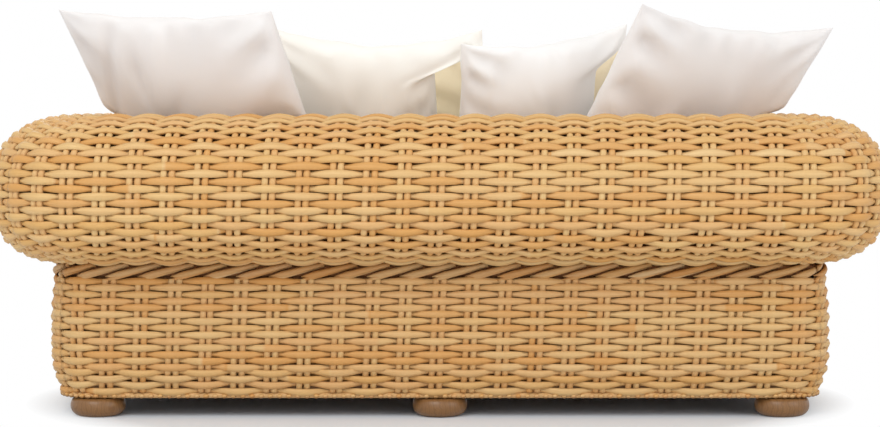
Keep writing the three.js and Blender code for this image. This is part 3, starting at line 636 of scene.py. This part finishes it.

# Painted shade: a brown sheet laid under the weave, where the real sofa has only its dark hollow inside, so
# gaps in the weave show shade.
shade_sheet_finish = Finish("brown sheet of painted shade", roughness=0.8)
shade_sheet_mottle = shade_sheet_finish.noise(shade_sheet_finish.place(), 160, 2, (1, 1, 0.5))
shade_sheet_finish.set("Base Color", shade_sheet_finish.ramp(shade_sheet_mottle, (0.35, (104, 62, 28)), (0.65, (146, 94, 48))))
shade_sheet_finish.bump(shade_sheet_mottle, 0.3, 0.001)

ROLL_ROW, ROLL_REFERENCE, ROLL_PHASE = 0.0168, 0.150, 0.643
STEP = PAIR / 7
ARM_REACH = 0.452  # how far forward of y = 0 the arms' rows end
STAKES_SHORT, SHADE_SHEET_SHORT = 0.012, 0.030  # how far short of that the stakes and the brown sheet of painted shade stop
SHADE_SHEET_INSETS = (0.0288, 0.0296)  # how deep the two faces of the brown sheet of painted shade lie under the roll's skin
roll_length, roll_curve = section_curve(roll_section(ROLL_INSET))
roll_rows = np.arange(ROLL_ROW / 2, roll_length - ROLL_ROW / 3, ROLL_ROW)
roll_arc = (REAR_BEND + ROLL_REFERENCE) * np.pi / 2
roll_mitre = HALF - REAR_BEND + roll_arc / 2
arm_end = HALF - REAR_BEND + roll_arc + (REAR - REAR_BEND) + ARM_REACH

half_rows = len(roll_rows) // 2
for part, heights, seed in (("belly", roll_rows[:half_rows], 11), ("crown", roll_rows[half_rows:], 12)):
    phase = ROLL_PHASE + PAIR if part == "crown" and half_rows % 2 else ROLL_PHASE
    for hand, low, high in three_hands(roll_mitre, arm_end):
        runs = np.linspace(low, high, int((high - low) / STEP))
        weavers = over_under(runs, heights, roll_curve, ROLL_REFERENCE, phase, PAIR, seed)
        bundle(f"roll_weavers_{part}_{hand}", [weavers], rattan, f"roll_weave_{hand}")

for hand, low, high in three_hands(roll_mitre, arm_end - STAKES_SHORT):
    numbers = np.arange(np.ceil((low - ROLL_PHASE) / PAIR) - 1, np.floor((high - ROLL_PHASE) / PAIR) + 2)
    limits = (low, high if hand == "back" else high + 0.002)
    made = stakes(
        numbers, roll_curve, roll_length, ROLL_ROW, ROLL_REFERENCE, ROLL_PHASE, PAIR, 21, limits=limits
    )
    bundle(f"roll_stakes_{hand}", [made], rattan, f"roll_weave_{hand}")
    # The brown sheet of painted shade inside the roll and arms.
    shade_sheet_end = arm_end - SHADE_SHEET_SHORT
    runs = np.linspace(max(low, -shade_sheet_end), min(high, shade_sheet_end), int((high - low) / 0.02))
    sections = [section_curve(roll_section(inset)) for inset in SHADE_SHEET_INSETS]
    layers = [along_section(runs, section, ROLL_REFERENCE) for section in sections]
    sheet(f"roll_shade_sheet_{hand}", *layers, shade_sheet_finish, f"roll_weave_{hand}")


# ---- Woven base: four walls from the neck down to the turned-under border ----
# The same strands and pairs of stakes go on down the box base, whose walls belly out a little. At the foot the
# stakes turn under a long border strand, and their rounded ends show in a row below it.

BASE_ROW, BASE_ROWS, BASE_REFERENCE = 0.0161, 18, 0.010
WALL_INSET = 0.0155  # from the wall's skin in to the middle of its weave
wall_outline = [
    (-0.0105, 0.058), (-0.0075, 0.070), (-0.001, 0.088), (0.0065, 0.110), (0.0098, 0.140), (0.0102, 0.165),
    (0.0102, 0.196), (0.0095, 0.236), (0.0075, 0.274), (0.0045, 0.302), (0.002, 0.330), (-0.001, 0.342),
    (-0.006, 0.356),
]
wall_length, wall_curve = section_curve(wall_outline, WALL_INSET)
base_rows = 0.0025 + BASE_ROW * np.arange(BASE_ROWS)
rear_arc = (REAR_BEND + BASE_REFERENCE) * np.pi / 2
front_arc = (FRONT_BEND + BASE_REFERENCE) * np.pi / 2
side_run = REAR - REAR_BEND - FRONT - FRONT_BEND
base_marks = np.cumsum([0, HALF - REAR_BEND, rear_arc, side_run, front_arc, HALF - FRONT_BEND])
base_half = base_marks[-1]
base_pairs = 2 * round(base_half / PAIR)
base_pitch = 2 * base_half / base_pairs
rear_mitre = base_marks[1] + rear_arc / 2
front_mitre = base_marks[3] + front_arc / 2
walls = [
    ("back", -rear_mitre, rear_mitre),
    ("left", rear_mitre, front_mitre),
    ("right", -front_mitre, -rear_mitre),
    ("front", front_mitre, 2 * base_half - front_mitre),
]


def wrapped(run):
    """A run past the middle of the front, brought back to the other side."""
    return np.where(run > base_half, run - 2 * base_half, run)


for hand, low, high in walls:
    runs = wrapped(np.linspace(low, high, int((high - low) / (base_pitch / 7))))
    weavers = over_under(
        runs, base_rows, wall_curve, BASE_REFERENCE, ROLL_PHASE, base_pitch, 31, True, body=0.0084, swell=0.0018
    )
    first = np.ceil((low - ROLL_PHASE) / base_pitch)
    numbers = np.arange(first, np.floor((high - ROLL_PHASE) / base_pitch) + 1)
    numbers = np.where(ROLL_PHASE + numbers * base_pitch > base_half, numbers - base_pairs, numbers)
    top = wall_length - 0.018
    up = stakes(numbers, wall_curve, top, BASE_ROW, BASE_REFERENCE, ROLL_PHASE, base_pitch, 33, True)
    bundle(f"base_weavers_{hand}", [weavers], base_rattan_in_shade, f"base_weave_{hand}")
    bundle(f"base_stakes_{hand}", [up], base_rattan_in_shade, f"base_weave_{hand}")
    # A brown sheet of painted shade under the base weave, standing for the dark inside of the base.
    sections = [section_curve(wall_outline, inset) for inset in (0.0290, 0.0298)]
    layers = [along_section(runs[::4], section, BASE_REFERENCE, True) for section in sections]
    sheet(f"base_shade_sheet_{hand}", *layers, shade_sheet_finish, f"base_weave_{hand}")


# ---- Border: the turned-under foot of the base walls ----
# One long strand runs round the whole base, and the stakes turn in under it. Their rounded ends show below it
# as a row of knuckles, one every 22 mm.

KNUCKLE = 0.022
for hand, low, high in walls:
    runs = wrapped(np.linspace(low, high, int((high - low) / 0.012)))
    x, y, dx, dy = plan(runs, -0.0290 + 0 * runs, BASE_REFERENCE, True)
    line, out = xyz(x, y, 0.0530)[None], xyz(dx, dy, 0)[None]
    strand = tubes(line, out, UP, 0.0062, 0.0068, 8, tone=0.45)
    marks = wrapped(np.arange(low + KNUCKLE / 2, high, KNUCKLE))
    depth = np.array([0.0, 0.0008, 0.003, 0.009, 0.020])
    x, y, dx, dy = plan(marks[:, None] + 0 * depth, -0.0160 - depth + 0 * marks[:, None], BASE_REFERENCE, True)
    ends, beside = xyz(x, y, 0.0515), xyz(dy, -dx, 0)
    shape = np.array([0.0012, 0.0040, 0.0054, 0.0058, 0.0056])
    tone = rng.random((len(marks), 1)) * 0.8
    knuckles = tubes(ends, UP, beside, shape, shape * 1.25, tone=tone)
    bundle(f"base_border_{hand}", [strand, knuckles], base_rattan_in_shade, f"base_weave_{hand}")


# ---- Neck plait: the band between the base and the roll ----
# Where the roll begins, each pair of stakes is turned over and laid slanting across its neighbours, so that the
# band reads as a row of long low waves with dark hollows under the roll.

plait_cane = Finish("plaited rattan in painted shade", specular_ior_level=0.42)
# Painted shade: the plait's strands darken more on their inward sides and take a share of brown over all, for
# the shade under the roll.
rattan_colours(plait_cane, 1.3, 0.30)
PLAIT_FOOT, PLAIT_CLIMB, PLAIT_RUN = 0.3392, 0.0290, 0.134
PLAIT_OFFSET, PLAIT_SWELL = -0.0185, 0.0115
PLAIT_THICK = (0.0086, 0.0062)  # half the width of each of the two strands
plait_mitre = HALF - REAR_BEND + REAR_BEND * np.pi / 4
plait_end = HALF - REAR_BEND + REAR_BEND * np.pi / 2 + (REAR - REAR_BEND - FRONT)


def laid_over(starts, low, high, seed):
    """Slanting strands: along s from 0 to 1 the height climbs the band and the offset swells as sin(π·s)."""
    chance = np.random.default_rng(seed)
    s = np.linspace(0, 1, 13)[None, :]
    groups = []
    for strand, thick in enumerate(PLAIT_THICK):
        run = starts[:, None] - PLAIT_RUN * s + 0.010 * strand
        keep = (run > low) & (run < high)
        climb = 0.3 * (3 * s**2 - 2 * s**3) + 0.7 * s
        z = PLAIT_FOOT + PLAIT_CLIMB * climb - 0.0098 * strand * (1 - 0.4 * s)
        offset = PLAIT_OFFSET + PLAIT_SWELL * np.sin(np.pi * s**0.7) ** 0.8 - 0.0020 * strand
        offset = offset + chance.normal(0, 0.0008, starts.shape)[:, None]
        full = thick * np.clip(0.16 + 3.6 * s, 0, 1) * (1 - 0.25 * s)
        x, y, dx, dy = plan(run, offset, 0)
        line, out = xyz(x, y, z), xyz(dx, dy, 0)
        used = keep.sum(1) > 1
        tone = chance.random((len(starts), 1))
        groups.append(tubes(line[used], out[used], UP, 0.85 * full, full, 8, keep[used], tone[used]))
    return groups


for hand, low, high in three_hands(plait_mitre, plait_end):
    numbers = np.arange(np.floor((low - ROLL_PHASE) / PAIR), np.ceil((high - ROLL_PHASE) / PAIR) + 3)
    runs = np.linspace(low, high, int((high - low) / 0.02))
    x, y, dx, dy = plan(runs, -0.0235 + 0 * runs, 0)
    out = xyz(dx, dy, 0)[None]
    # Two core strands lie behind the plait and take the brown sheet's finish: real strands, in painted shade
    # that stands for the dark hollows under the roll.
    lines = [xyz(x, y, z)[None] for z in (0.347, 0.360)]
    core = [tubes(line, out, UP, 0.0065, 0.0072, tone=0.1) for line in lines]
    bundle(f"plait_shade_core_{hand}", core, shade_sheet_finish, f"neck_plait_{hand}", slot="plait")
    strands = laid_over(ROLL_PHASE + numbers * PAIR, low, high, 41)
    bundle(f"plait_{hand}", strands, plait_cane, f"neck_plait_{hand}", slot="plait")


# ---- Noses: the closed front ends of the arms ----
# Each arm's front is woven shut as a rosette: rows of weavers go round and round inwards over pairs of stakes
# that fan out from a coiled button, and a twisted rim covers where they meet the arm's own rows.

NOSE_BEND, NOSE_START = 0.045, -0.445  # the radius of the rim's quarter turn, and where it begins
NOSE_TURN = NOSE_BEND * np.pi / 2
NOSE_REACH, NOSE_PAIRS, NOSE_FOOT = 0.128, 16, 0.342
RIM_TURNS, RIM_END, RIM_INSET, RIM_DEPTH = 30, 0.878, 0.012, -0.449
AHEAD = (0, -1, 0)
nose_middle = np.array([-0.030, 0.539])


def closed_outline(inset, s):
    """Points and outward normals of an arm's section at an inset, at shares s of the way round it."""
    points = np.array(roll_section(inset, NOSE_FOOT) + [(ROLL_NECK, NOSE_FOOT)])
    points = np.concatenate([points, points[:1]])
    length = lengths_along(points)
    at = (np.asarray(s) % 1) * length[-1]
    further, nearer = (at_lengths((at + step) % length[-1], length, points) for step in (0.012, -0.012))
    run = further - nearer
    run /= np.linalg.norm(run, axis=-1, keepdims=True)
    return at_lengths(at, length, points), np.stack([run[..., 1], -run[..., 0]], -1)


def nose(q, s):
    """Offset, depth and height on the nose at a distance q in from its rim and a share s round it, and normals.

    The rim's quarter turn has a radius of 45 mm; past it the surface is flat and shrinks to the middle.
    """
    lean = np.clip(1 - q / NOSE_TURN, 0, 1) * np.pi / 2
    place, normal = closed_outline(ROLL_INSET, s)
    inner, _ = closed_outline(ROLL_INSET + NOSE_BEND, s)
    inset = (1 - np.sin(lean))[..., None]
    share = np.clip(1 - (q - NOSE_TURN) / NOSE_REACH, 0, 1)[..., None]
    flat = nose_middle + (inner - nose_middle) * share
    at = np.where(q[..., None] < NOSE_TURN, place + (inner - place) * inset, flat)
    y = NOSE_START - NOSE_BEND * np.cos(lean)
    out = xyz(normal[..., 0] * np.sin(lean), -np.cos(lean), normal[..., 1] * np.sin(lean))
    back = xyz(normal[..., 0] * np.cos(lean), np.sin(lean), normal[..., 1] * np.cos(lean))
    return xyz(at[..., 0], y, at[..., 1]), out, back, share[..., 0]


def on_arm(points, side):
    """Points given by offset, depth and height, in their place on the arm of the given side."""
    return points * [side, 1, 1] + [side * HALF, 0, 0]


def arm_tubes(side, centre, outward, across, *sizes, **rest):
    """Tubes on the arm of the given side, from points and directions in offset, depth and height."""
    outward, across = (np.array(way) * [side, 1, 1] for way in (outward, across))
    return tubes(on_arm(centre, side), outward, across, *sizes, **rest)


for hand, side in (("left", 1), ("right", -1)):
    chance = np.random.default_rng(51)
    q = np.arange(0.006, NOSE_TURN + NOSE_REACH * 0.86, 0.0160)[:, None]
    s = np.linspace(0, 1, NOSE_PAIRS * 8 + 1)[None, :]
    at, out, back, share = nose(q + 0 * s, s + 0 * q)
    row = np.arange(len(q))[:, None]
    wave = np.cos(np.pi * (NOSE_PAIRS * s + row)) * np.clip(share * 1.1, 0.15, 1)
    centre = at + out * (WEAVER_SWING * wave)[..., None]
    tone = chance.random((len(q), 12))[row, (s * 5 + row * 0.7).astype(int) % 12]
    groups = [arm_tubes(side, centre, out, back, 0.0055, 0.0070 + 0.0012 * wave, tone=tone)]
    q = np.linspace(-0.004, NOSE_TURN + NOSE_REACH * 0.90, 44)[None, :]
    marks = np.repeat(np.arange(NOSE_PAIRS), 2)[:, None] / NOSE_PAIRS
    gap = np.tile([-1.0, 1.0], NOSE_PAIRS)[:, None] * 0.0072
    at, out, back, share = nose(q + 0 * marks, marks + gap + 0 * q)
    keep = (share > 0.62) | ((np.arange(2 * NOSE_PAIRS)[:, None] // 2) % 2 == 0)
    narrow = 0.0066 * np.clip(share * 1.5, 0.45, 1)
    groups.append(arm_tubes(side, at, out, np.cross(out, back), 0.0058, narrow, 6, keep, 0.4))
    s = np.linspace(0.0, RIM_END, RIM_TURNS * 9)[None, :]
    place, normal = closed_outline(RIM_INSET, s)
    for strand in range(3):
        angle = s * RIM_TURNS * 2 * np.pi + strand * 2 * np.pi / 3
        flat = place + normal * (0.0058 * np.cos(angle)[..., None])
        line = xyz(flat[..., 0], RIM_DEPTH + 0.0085 * np.sin(angle), flat[..., 1])
        up = xyz(normal[..., 0], 0, normal[..., 1])
        groups.append(arm_tubes(side, line, up, AHEAD, 0.0060, 0.0064, tone=0.2 + 0.3 * strand))
    coil = np.linspace(0, 1, 90)[None, :]
    angle, radius = coil * 2 * np.pi * 2.6, 0.006 + 0.020 * coil
    x, z = nose_middle[0] + radius * np.cos(angle), nose_middle[1] + radius * np.sin(angle)
    line = xyz(x, -0.4965 + 0.007 * coil, z)
    radial = xyz(np.cos(angle), 0, np.sin(angle))
    groups.append(arm_tubes(side, line, AHEAD, radial, 0.0052, 0.0050, tone=0.6))
    bundle(f"nose_rosette_{hand}", groups, rattan, f"roll_weave_{hand}")
    # A brown sheet of painted shade behind the rosette, standing for the dark inside of the arm.
    s = np.linspace(0, 1, 120, endpoint=False)
    layers = []
    for inset, depth in zip(SHADE_SHEET_INSETS, (-0.4752, -0.4744)):
        rings = []
        steps = ((0.02, 0.056, 0), (0.5, 0.056, 0), (1, 0.056, 0), (1, 0.040, 0.006), (1, inset, 0.022))
        for share, deep, behind in steps:
            ring = nose_middle + (closed_outline(deep, s)[0] - nose_middle) * share
            ring = xyz(ring[:, 0], depth + behind, ring[:, 1])
            rings.append(on_arm(ring, side)[::-side])
        layers.append(np.stack(rings))
    sheet(f"nose_shade_sheet_{hand}", *layers, shade_sheet_finish, f"roll_weave_{hand}", closed=True)


# ---- Seat deck: a flat panel of woven cane under the seat cushions ----
# Flat cane goes over and under slats at the same 78 mm pitch. The deck rails and two bearers carry it.

DECK_MIDDLE = 0.3238
deck_low, deck_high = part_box("seat_deck")
across = np.linspace(deck_low.x, deck_high.x, 132)[None, :]
depth_rows = np.arange(deck_low.y + 0.009, deck_high.y - 0.006, 0.0168)[:, None]
row = np.arange(len(depth_rows))[:, None]
wave = np.cos(np.pi * (across / PAIR + row))
centre = xyz(across, depth_rows, DECK_MIDDLE + 0.0026 * wave)
cane = [tubes(centre, UP, (0, 1, 0), 0.0025, 0.0079, tone=rng.random((len(row), 1)))]
slat_x = np.arange(np.ceil(deck_low.x / PAIR), np.floor(deck_high.x / PAIR) + 1)[:, None] * PAIR
along = np.linspace(deck_low.y, deck_high.y, 12)[None, :]
centre = xyz(slat_x, along, DECK_MIDDLE)
cane.append(tubes(centre, UP, (1, 0, 0), 0.0016, 0.012, tone=0.8))
bundle("seat_deck_cane", cane, rattan, "seat_deck")


# ---- Seat cushions: two box cushions with piped edges ----
# Firm foam wrapped in wadding, in an off-white woven cover: a crowned top, boxing that bulges a little between
# two lines of piping, and sides that draw in between the corners.


def cloth(name, colour, shade):
    """A woven cover: fine crossed threads, soft blotches, slubs that make it uneven, and painted shade in its
    creases.
    """
    finish = Finish(name, sheen_weight=0.25, sheen_roughness=0.6)
    where = finish.place()
    wave = {"Vector": where, "Scale": 330.0, "Distortion": 1.6, "Detail": 2.0}
    warp, weft = (finish.node("TexWave", {"bands_direction": way}, wave) for way in "XZ")
    slub = finish.noise(where, 90, 4)
    soft = finish.noise(where, 7, 3)
    threads = (warp + weft) * 0.5
    body = finish.blend(soft * 0.7, colour, shade)
    # Painted shade: the cover darkens where a point lies deep in a fold.
    body = finish.blend(finish.attribute("crease") * 0.5, body, tuple(0.9 * part for part in shade))
    finish.set("Base Color", finish.blend((1 - threads) * 0.16 + slub * 0.10, body, shade))
    finish.set("Roughness", 0.82 + slub * 0.12)
    finish.bump(threads + slub * 0.8, 0.22, 0.0005)
    return finish


seat_cloth = cloth("off-white seat cloth", (240, 235, 226), (226, 218, 206))


def rounded_rectangle(half_x, half_y, bend, draw, count):
    """Points and outward directions round a rectangle with round corners, whose sides draw in between them."""
    corner = np.linspace(0, np.pi / 2, 14)
    points = []
    for k, (sx, sy) in enumerate(((1, 1), (-1, 1), (-1, -1), (1, -1))):
        angle = corner + k * np.pi / 2
        x, y = sx * (half_x - bend) + bend * np.cos(angle), sy * (half_y - bend) + bend * np.sin(angle)
        points.append(np.stack([x, y], -1))
    points = np.concatenate([*points, points[0][:1]])
    length = lengths_along(points)
    place = at_lengths(np.linspace(0, length[-1], count, endpoint=False), length, points)
    share = place / [half_x, half_y]
    place = place - draw * (np.sign(share) * np.abs(share) ** 8 * (1 - share[:, ::-1] ** 2))
    run = np.roll(place, -1, 0) - np.roll(place, 1, 0)
    run /= np.linalg.norm(run, axis=1, keepdims=True)
    return place, np.stack([run[:, 1], -run[:, 0]], -1)


CUSHION_POINTS = 220
UNDER_SAG, BOXING_BULGE, CROWN_RISE = 0.0125, 0.0028, 0.0155
for hand, seed in (("left", 61), ("right", 62)):
    low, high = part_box(f"seat_cushion_{hand}")
    middle = (low + high) / 2
    half = (high - low) / 2
    edge, out = rounded_rectangle(half.x - 0.003, half.y - 0.003, 0.045, 0.007, CUSHION_POINTS)
    bottom, top = low.z + 0.013, high.z - 0.016
    rings = [(edge * share, bottom - UNDER_SAG * (1 - share**10)) for share in np.linspace(0.004, 1, 26)]
    for share in np.linspace(0, 1, 12)[1:-1]:
        bulge = out * BOXING_BULGE * (1 - (2 * share - 1) ** 4)
        rings.append((edge + bulge, bottom + (top - bottom) * share))
    crown = len(rings)
    rings += [(edge * share, top + CROWN_RISE * (1 - share**7) ** 0.8) for share in np.linspace(1, 0.004, 40)]
    shape = np.stack([np.concatenate([ring, 0 * ring[:, :1] + height], 1) for ring, height in rings])
    x, y = shape[..., 0], shape[..., 1]
    chance = np.random.default_rng(seed)
    for _ in range(14):
        kx, ky, start = chance.normal(0, 9), chance.normal(0, 9), chance.random() * FULL_TURN
        shape[crown:, :, 2] += 0.0006 * np.sin(kx * x + ky * y + start)[crown:]
    shape += [middle.x, middle.y, 0]
    faces = grid_faces(len(shape), CUSHION_POINTS, True).tolist()
    cover = piece_of(f"seat_cover_{hand}", shape, faces, seat_cloth)
    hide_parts(f"seat_cushion_{hand}")
    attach(cover, f"seat_cushion_{hand}")
    loop, outs = (np.concatenate([line, line[:2]]) for line in (edge, out))
    sideways = np.concatenate([outs, 0 * outs[:, :1]], 1)[None]
    cords = []
    for z in (bottom, top):
        line = np.concatenate([loop + outs * 0.0008 + [middle.x, middle.y], 0 * loop[:, :1] + z], 1)[None]
        cords.append(tubes(line, sideways, UP, 0.0042, 0.0042, 8))
    bundle(f"seat_piping_{hand}", cords, seat_cloth, slot="seat_fabric", body=f"seat_cushion_{hand}")


# ---- Loose pillows: four white ones along the back and a cream one before them ----
# Each is two panels sewn round their edge and turned, with a soft filling: fat in the middle, thin at the
# seam, its sides drawn in between pointed corners. They stand on the seat and give way to the roll.

CLEAR = 0.004  # how far a pillow keeps off the roll
PILLOW_STEPS = 56
FOLD, PUCKER, SLACK, SEAM_WAVE = 0.0062, 0.0034, 0.0022, 0.0022
SINK = 0.020  # how far a pillow sinks onto the seat
MOST_PRESS, DEEPEST_PRESS = 0.030, 0.386  # how far its front follows its pressed rear, and the longest press
LIFT, LIFT_STEPS = 0.350, 11


def reach_left(height, margin):
    """The share of the roll's reach that is left at a height, from 1 at its middle to 0 above its crown."""
    climb = np.clip((height - ROLL_MIDDLE) / (ROLL_RISE + margin), 0, 1)
    return (1 - climb**CROWN_POWER) ** (1 / CROWN_POWER)


def in_roll(points, margin):
    """Whether points lie within a margin of the roll: its section's superellipse about the crown line."""
    past_x, past_y = np.abs(points[..., 0]) - HALF, points[..., 1] - REAR
    corner = np.minimum(past_x, past_y) > -REAR_BEND
    round_wall = np.hypot(past_x + REAR_BEND, past_y + REAR_BEND) - REAR_BEND
    past = np.where(corner, round_wall, np.maximum(past_x, past_y)) - CROWN_LINE
    across = np.where(past > 0, ROLL_OUTSIDE, ROLL_INSIDE) + margin
    return np.abs(past) < across * reach_left(points[..., 2], margin)


def held_below(value, limit, give):
    """A value held below a limit, rounding off within a little of it."""
    past = np.maximum(value - (limit - give), 0)
    return np.where(past > 0, limit - give * np.exp(-past / give), value)


def draw_in(points):
    """Draws points in sideways until they are clear of the arm beside them."""
    share = reach_left(points[..., 2], CLEAR)
    limit = HALF + CROWN_LINE - (ROLL_INSIDE + CLEAR) * share
    held = np.sign(points[..., 0]) * held_below(np.abs(points[..., 0]), limit, 0.006)
    points[..., 0] = np.where(share > 0, held, points[..., 0])


def pillow(name, finish, width, height, thick, sags, ear, tucks, x, y, stand, yaw, lean, roll, lift_lean, seed):
    """A stuffed pillow as two grids of (u, v) from -1 to 1, sewn at their edges.

    across = width/2·u·(1 - side sag·(1 - |v|^ear)), up = height/2·v·(1 - edge sag·(1 - u²)), and the
    filling is thick·sqrt((1 - u²)(1 - v²)), with folds that fan out of the corners and puckers along the seam.
    Sags are those of the right and left side, the top and the bottom, where right is u > 0. A tuck of 1 lets
    the sag of its side run on to the lower corner. The pillow stands at x, y on the height stand, turned by
    yaw, lean and roll, all in degrees, and its rear is pressed in wherever lifting it up to 350 mm along a
    slope of lift_lean degrees would meet the roll.
    """
    chance = np.random.default_rng(seed)
    side = np.sin((2 * np.arange(PILLOW_STEPS + 1) / PILLOW_STEPS - 1) * np.pi / 2)
    v, u = np.meshgrid(side, side, indexing="ij")
    tuck = np.where(v > 0, 0, np.where(u > 0, tucks[0], tucks[1]))
    hold = np.abs(v) ** ear
    if ear > 5:
        hold = np.clip((np.abs(v) - 0.58) / 0.26, 0, 1)
        hold = hold**2 * (3 - 2 * hold)
    side_sag = np.where(u > 0, sags[0], sags[1]) * (1 - (1 - tuck) * hold)
    edge_sag = np.where(v > 0, sags[2], sags[3]) * (1 - u**2)
    full = thick * np.sqrt((1 - u**2) * (1 - v**2))
    across, up = width / 2 * u * (1 - side_sag), height / 2 * v * (1 - edge_sag)
    folds = 0
    for cu in (-1, 1):
        for cv in (-1, 1):
            far = np.hypot(u - cu, v - cv)
            angle = np.arctan2((v - cv) * -cv, (u - cu) * -cu)
            count, shift = chance.integers(7, 11), chance.random() * FULL_TURN
            reach = np.exp(-((far / chance.uniform(0.45, 0.75)) ** 2)) * np.clip(far * 3, 0, 1)
            fan = np.sin(count * angle + shift + 1.5 * np.sin(3 * far))
            folds = folds + reach * fan * chance.uniform(0.6, 1.0)
    puckers = 0
    for edge, along in ((1 - np.abs(u), v), (1 - np.abs(v), u)):
        ripple = np.sin(along * chance.uniform(19, 24) + chance.random() * FULL_TURN + 1.3 * np.sin(along * 5))
        puckers = puckers + np.exp(-((edge / 0.13) ** 2)) * np.clip(edge * 30, 0, 1) * ripple
    slack = sum(
        np.sin(u * chance.normal(0, 4) + v * chance.normal(0, 4) + chance.random() * FULL_TURN)
        for _ in range(5)
    )
    drape = 0
    for _ in range(9):
        middle, slope, low = chance.uniform(-0.8, 0.8), chance.normal(0, 0.30), chance.uniform(-0.9, 0.3)
        off = u - middle - slope * v + 0.06 * np.sin(3 * v + chance.random() * 6)
        off = off / chance.uniform(0.035, 0.10)
        stretch = np.clip((v - low) * 3, 0, 1) * np.clip((low + chance.uniform(0.5, 1.4) - v) * 3, 0, 1)
        drape = drape + chance.choice([-1.0, 1.0]) * np.exp(-(off**2)) * stretch
    inner = -np.sign(x)
    off = 1 - inner * u
    crumple = np.exp(-((off / 0.34) ** 2)) * np.clip(off * 8, 0, 1)
    crumple = crumple * np.sin(17 * v + 2.2 * np.sin(3 * v + seed) + 5 * off)
    wavy = SEAM_WAVE * (np.sin(9 * u + seed) + np.sin(17 * u + 2 * seed)) * v**4 * (1 - u**2)
    up = up + wavy
    angles = Euler([np.radians(-lean), np.radians(roll), 0], "YXZ").to_matrix()
    turn = np.array(Euler([0, 0, np.radians(yaw)]).to_matrix()) @ np.array(angles)
    forward = turn @ [0, -1, 0]
    hang, crush = (0.0034, 0.0040) if ear > 5 else (0.0085, 0.0092)
    layers = []
    for face in (1, -1):
        relief = FOLD * folds + PUCKER * puckers + SLACK * slack + hang * drape + crush * crumple
        relief = relief * np.clip(full / thick * 3, 0, 1)
        layers.append(xyz(across, face * (full / 2 + relief), up) @ turn.T)
    rear, front = layers
    place = np.array([x, y, stand - (xyz(across, full / 2, up) @ turn.T)[..., 2].min() - SINK])
    rear, front = rear + place, front + place
    for points in (rear, front):
        points[..., 2] = -held_below(-points[..., 2], -stand, 0.008)
        draw_in(points)
    tilt = np.radians(lift_lean)
    lift = np.array([0, np.sin(tilt), np.cos(tilt)])
    way = np.linspace(0, LIFT, LIFT_STEPS)
    ahead = forward / np.linalg.norm(forward[:2])
    level = xyz(0.2 * rear[..., 0], ahead[1], 0.05 * ahead[2])

    def meets(push):
        at = rear + level * push[..., None]
        return np.any([in_roll(at + lift * d, CLEAR) for d in way], axis=0)

    held, free = np.zeros_like(full), np.full_like(full, DEEPEST_PRESS)
    blocked = meets(held)
    for _ in range(14):
        half = (held + free) / 2
        hit = meets(half)
        held, free = np.where(hit, half, held), np.where(hit, free, half)
    press = np.where(blocked, free, 0)
    most = np.minimum(press, MOST_PRESS)
    rear = rear + level * press[..., None]
    front = front + level * np.maximum(press - 0.4 * full, 0.6 * most)[..., None]
    draw_in(rear)
    draw_in(front)
    grid = PILLOW_STEPS + 1
    front_faces = grid_faces(grid, grid)
    rear_faces = front_faces[:, ::-1] + grid * grid
    points = np.concatenate([front.reshape(-1, 3), rear.reshape(-1, 3)])
    # Painted shade: how deep each point lies in a fold, which the cover darkens by.
    crease = np.tile(np.clip(-relief / 0.009, 0, 1).ravel(), 2)
    number = np.arange(2 * grid * grid)
    rim = np.flatnonzero(np.maximum(np.abs(u), np.abs(v)).ravel() > 0.9999)
    number[rim + grid * grid] = rim
    points[rim] = (points[rim] + points[rim + grid * grid]) / 2
    faces = number[np.concatenate([front_faces, rear_faces])]
    used = np.zeros(len(points), bool)
    used[faces] = True
    renumber = np.cumsum(used) - 1
    piece = piece_of(f"{name}_cover", points[used], renumber[faces].tolist(), finish, crease=crease[used])
    smooth = piece.modifiers.new("smooth cloth", "SUBSURF")
    smooth.levels = smooth.render_levels = 1
    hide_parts(name)
    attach(piece, name)


white_cloth = cloth("white pillow cloth", (244, 241, 238), (237, 230, 226))
# Painted light: a lighter copy of the white cloth for the middle right pillow, making up for the shade it
# stands in.
white_cloth_painted_lighter = cloth("white pillow cloth painted lighter", (247, 245, 242), (242, 238, 235))
# Painted light: a lighter and warmer copy of the white cloth for the middle left pillow, standing for the warm
# shade and bounce it shows.
white_cloth_painted_warm = cloth("white pillow cloth painted lighter and warmer", (248, 245, 238), (244, 239, 229))
cream_cloth = cloth("cream pillow cloth", (255, 242, 211), (252, 235, 199))

pillow("corner_pillow_left", white_cloth, 0.637, 0.654, 0.155, (0.05, 0.05, 0.08, 0.06), 2, (0, 0),
       0.588455, 0.056921, 0.459874, -30, 36, -2, 33, 71)
pillow("corner_pillow_right", white_cloth, 0.618, 0.631, 0.150, (0.03, 0.06, 0.14, 0.06), 2, (0, 0),
       -0.62135, 0.031694, 0.455746, 30, 36, -5, 38, 72)
pillow("middle_pillow_right", white_cloth_painted_lighter, 0.430, 0.536, 0.130, (0.03, 0.34, 0.13, 0.06), 6, (0, 0),
       -0.245616, 0.065330, 0.457023, 20, 30, 8, 38, 73)
pillow("middle_pillow_left", white_cloth_painted_warm, 0.545, 0.571, 0.130, (0.10, 0.45, 0.19, 0.06), 7, (0, 1),
       0.152779, 0.063394, 0.459439, -10, 30, -2, 30, 74)
pillow("accent_pillow", cream_cloth, 0.530, 0.520, 0.120, (0.08, 0.08, 0.14, 0.06), 2, (0, 0),
       -0.202487, -0.087308, 0.459067, 4, 28, 2, 28, 75)
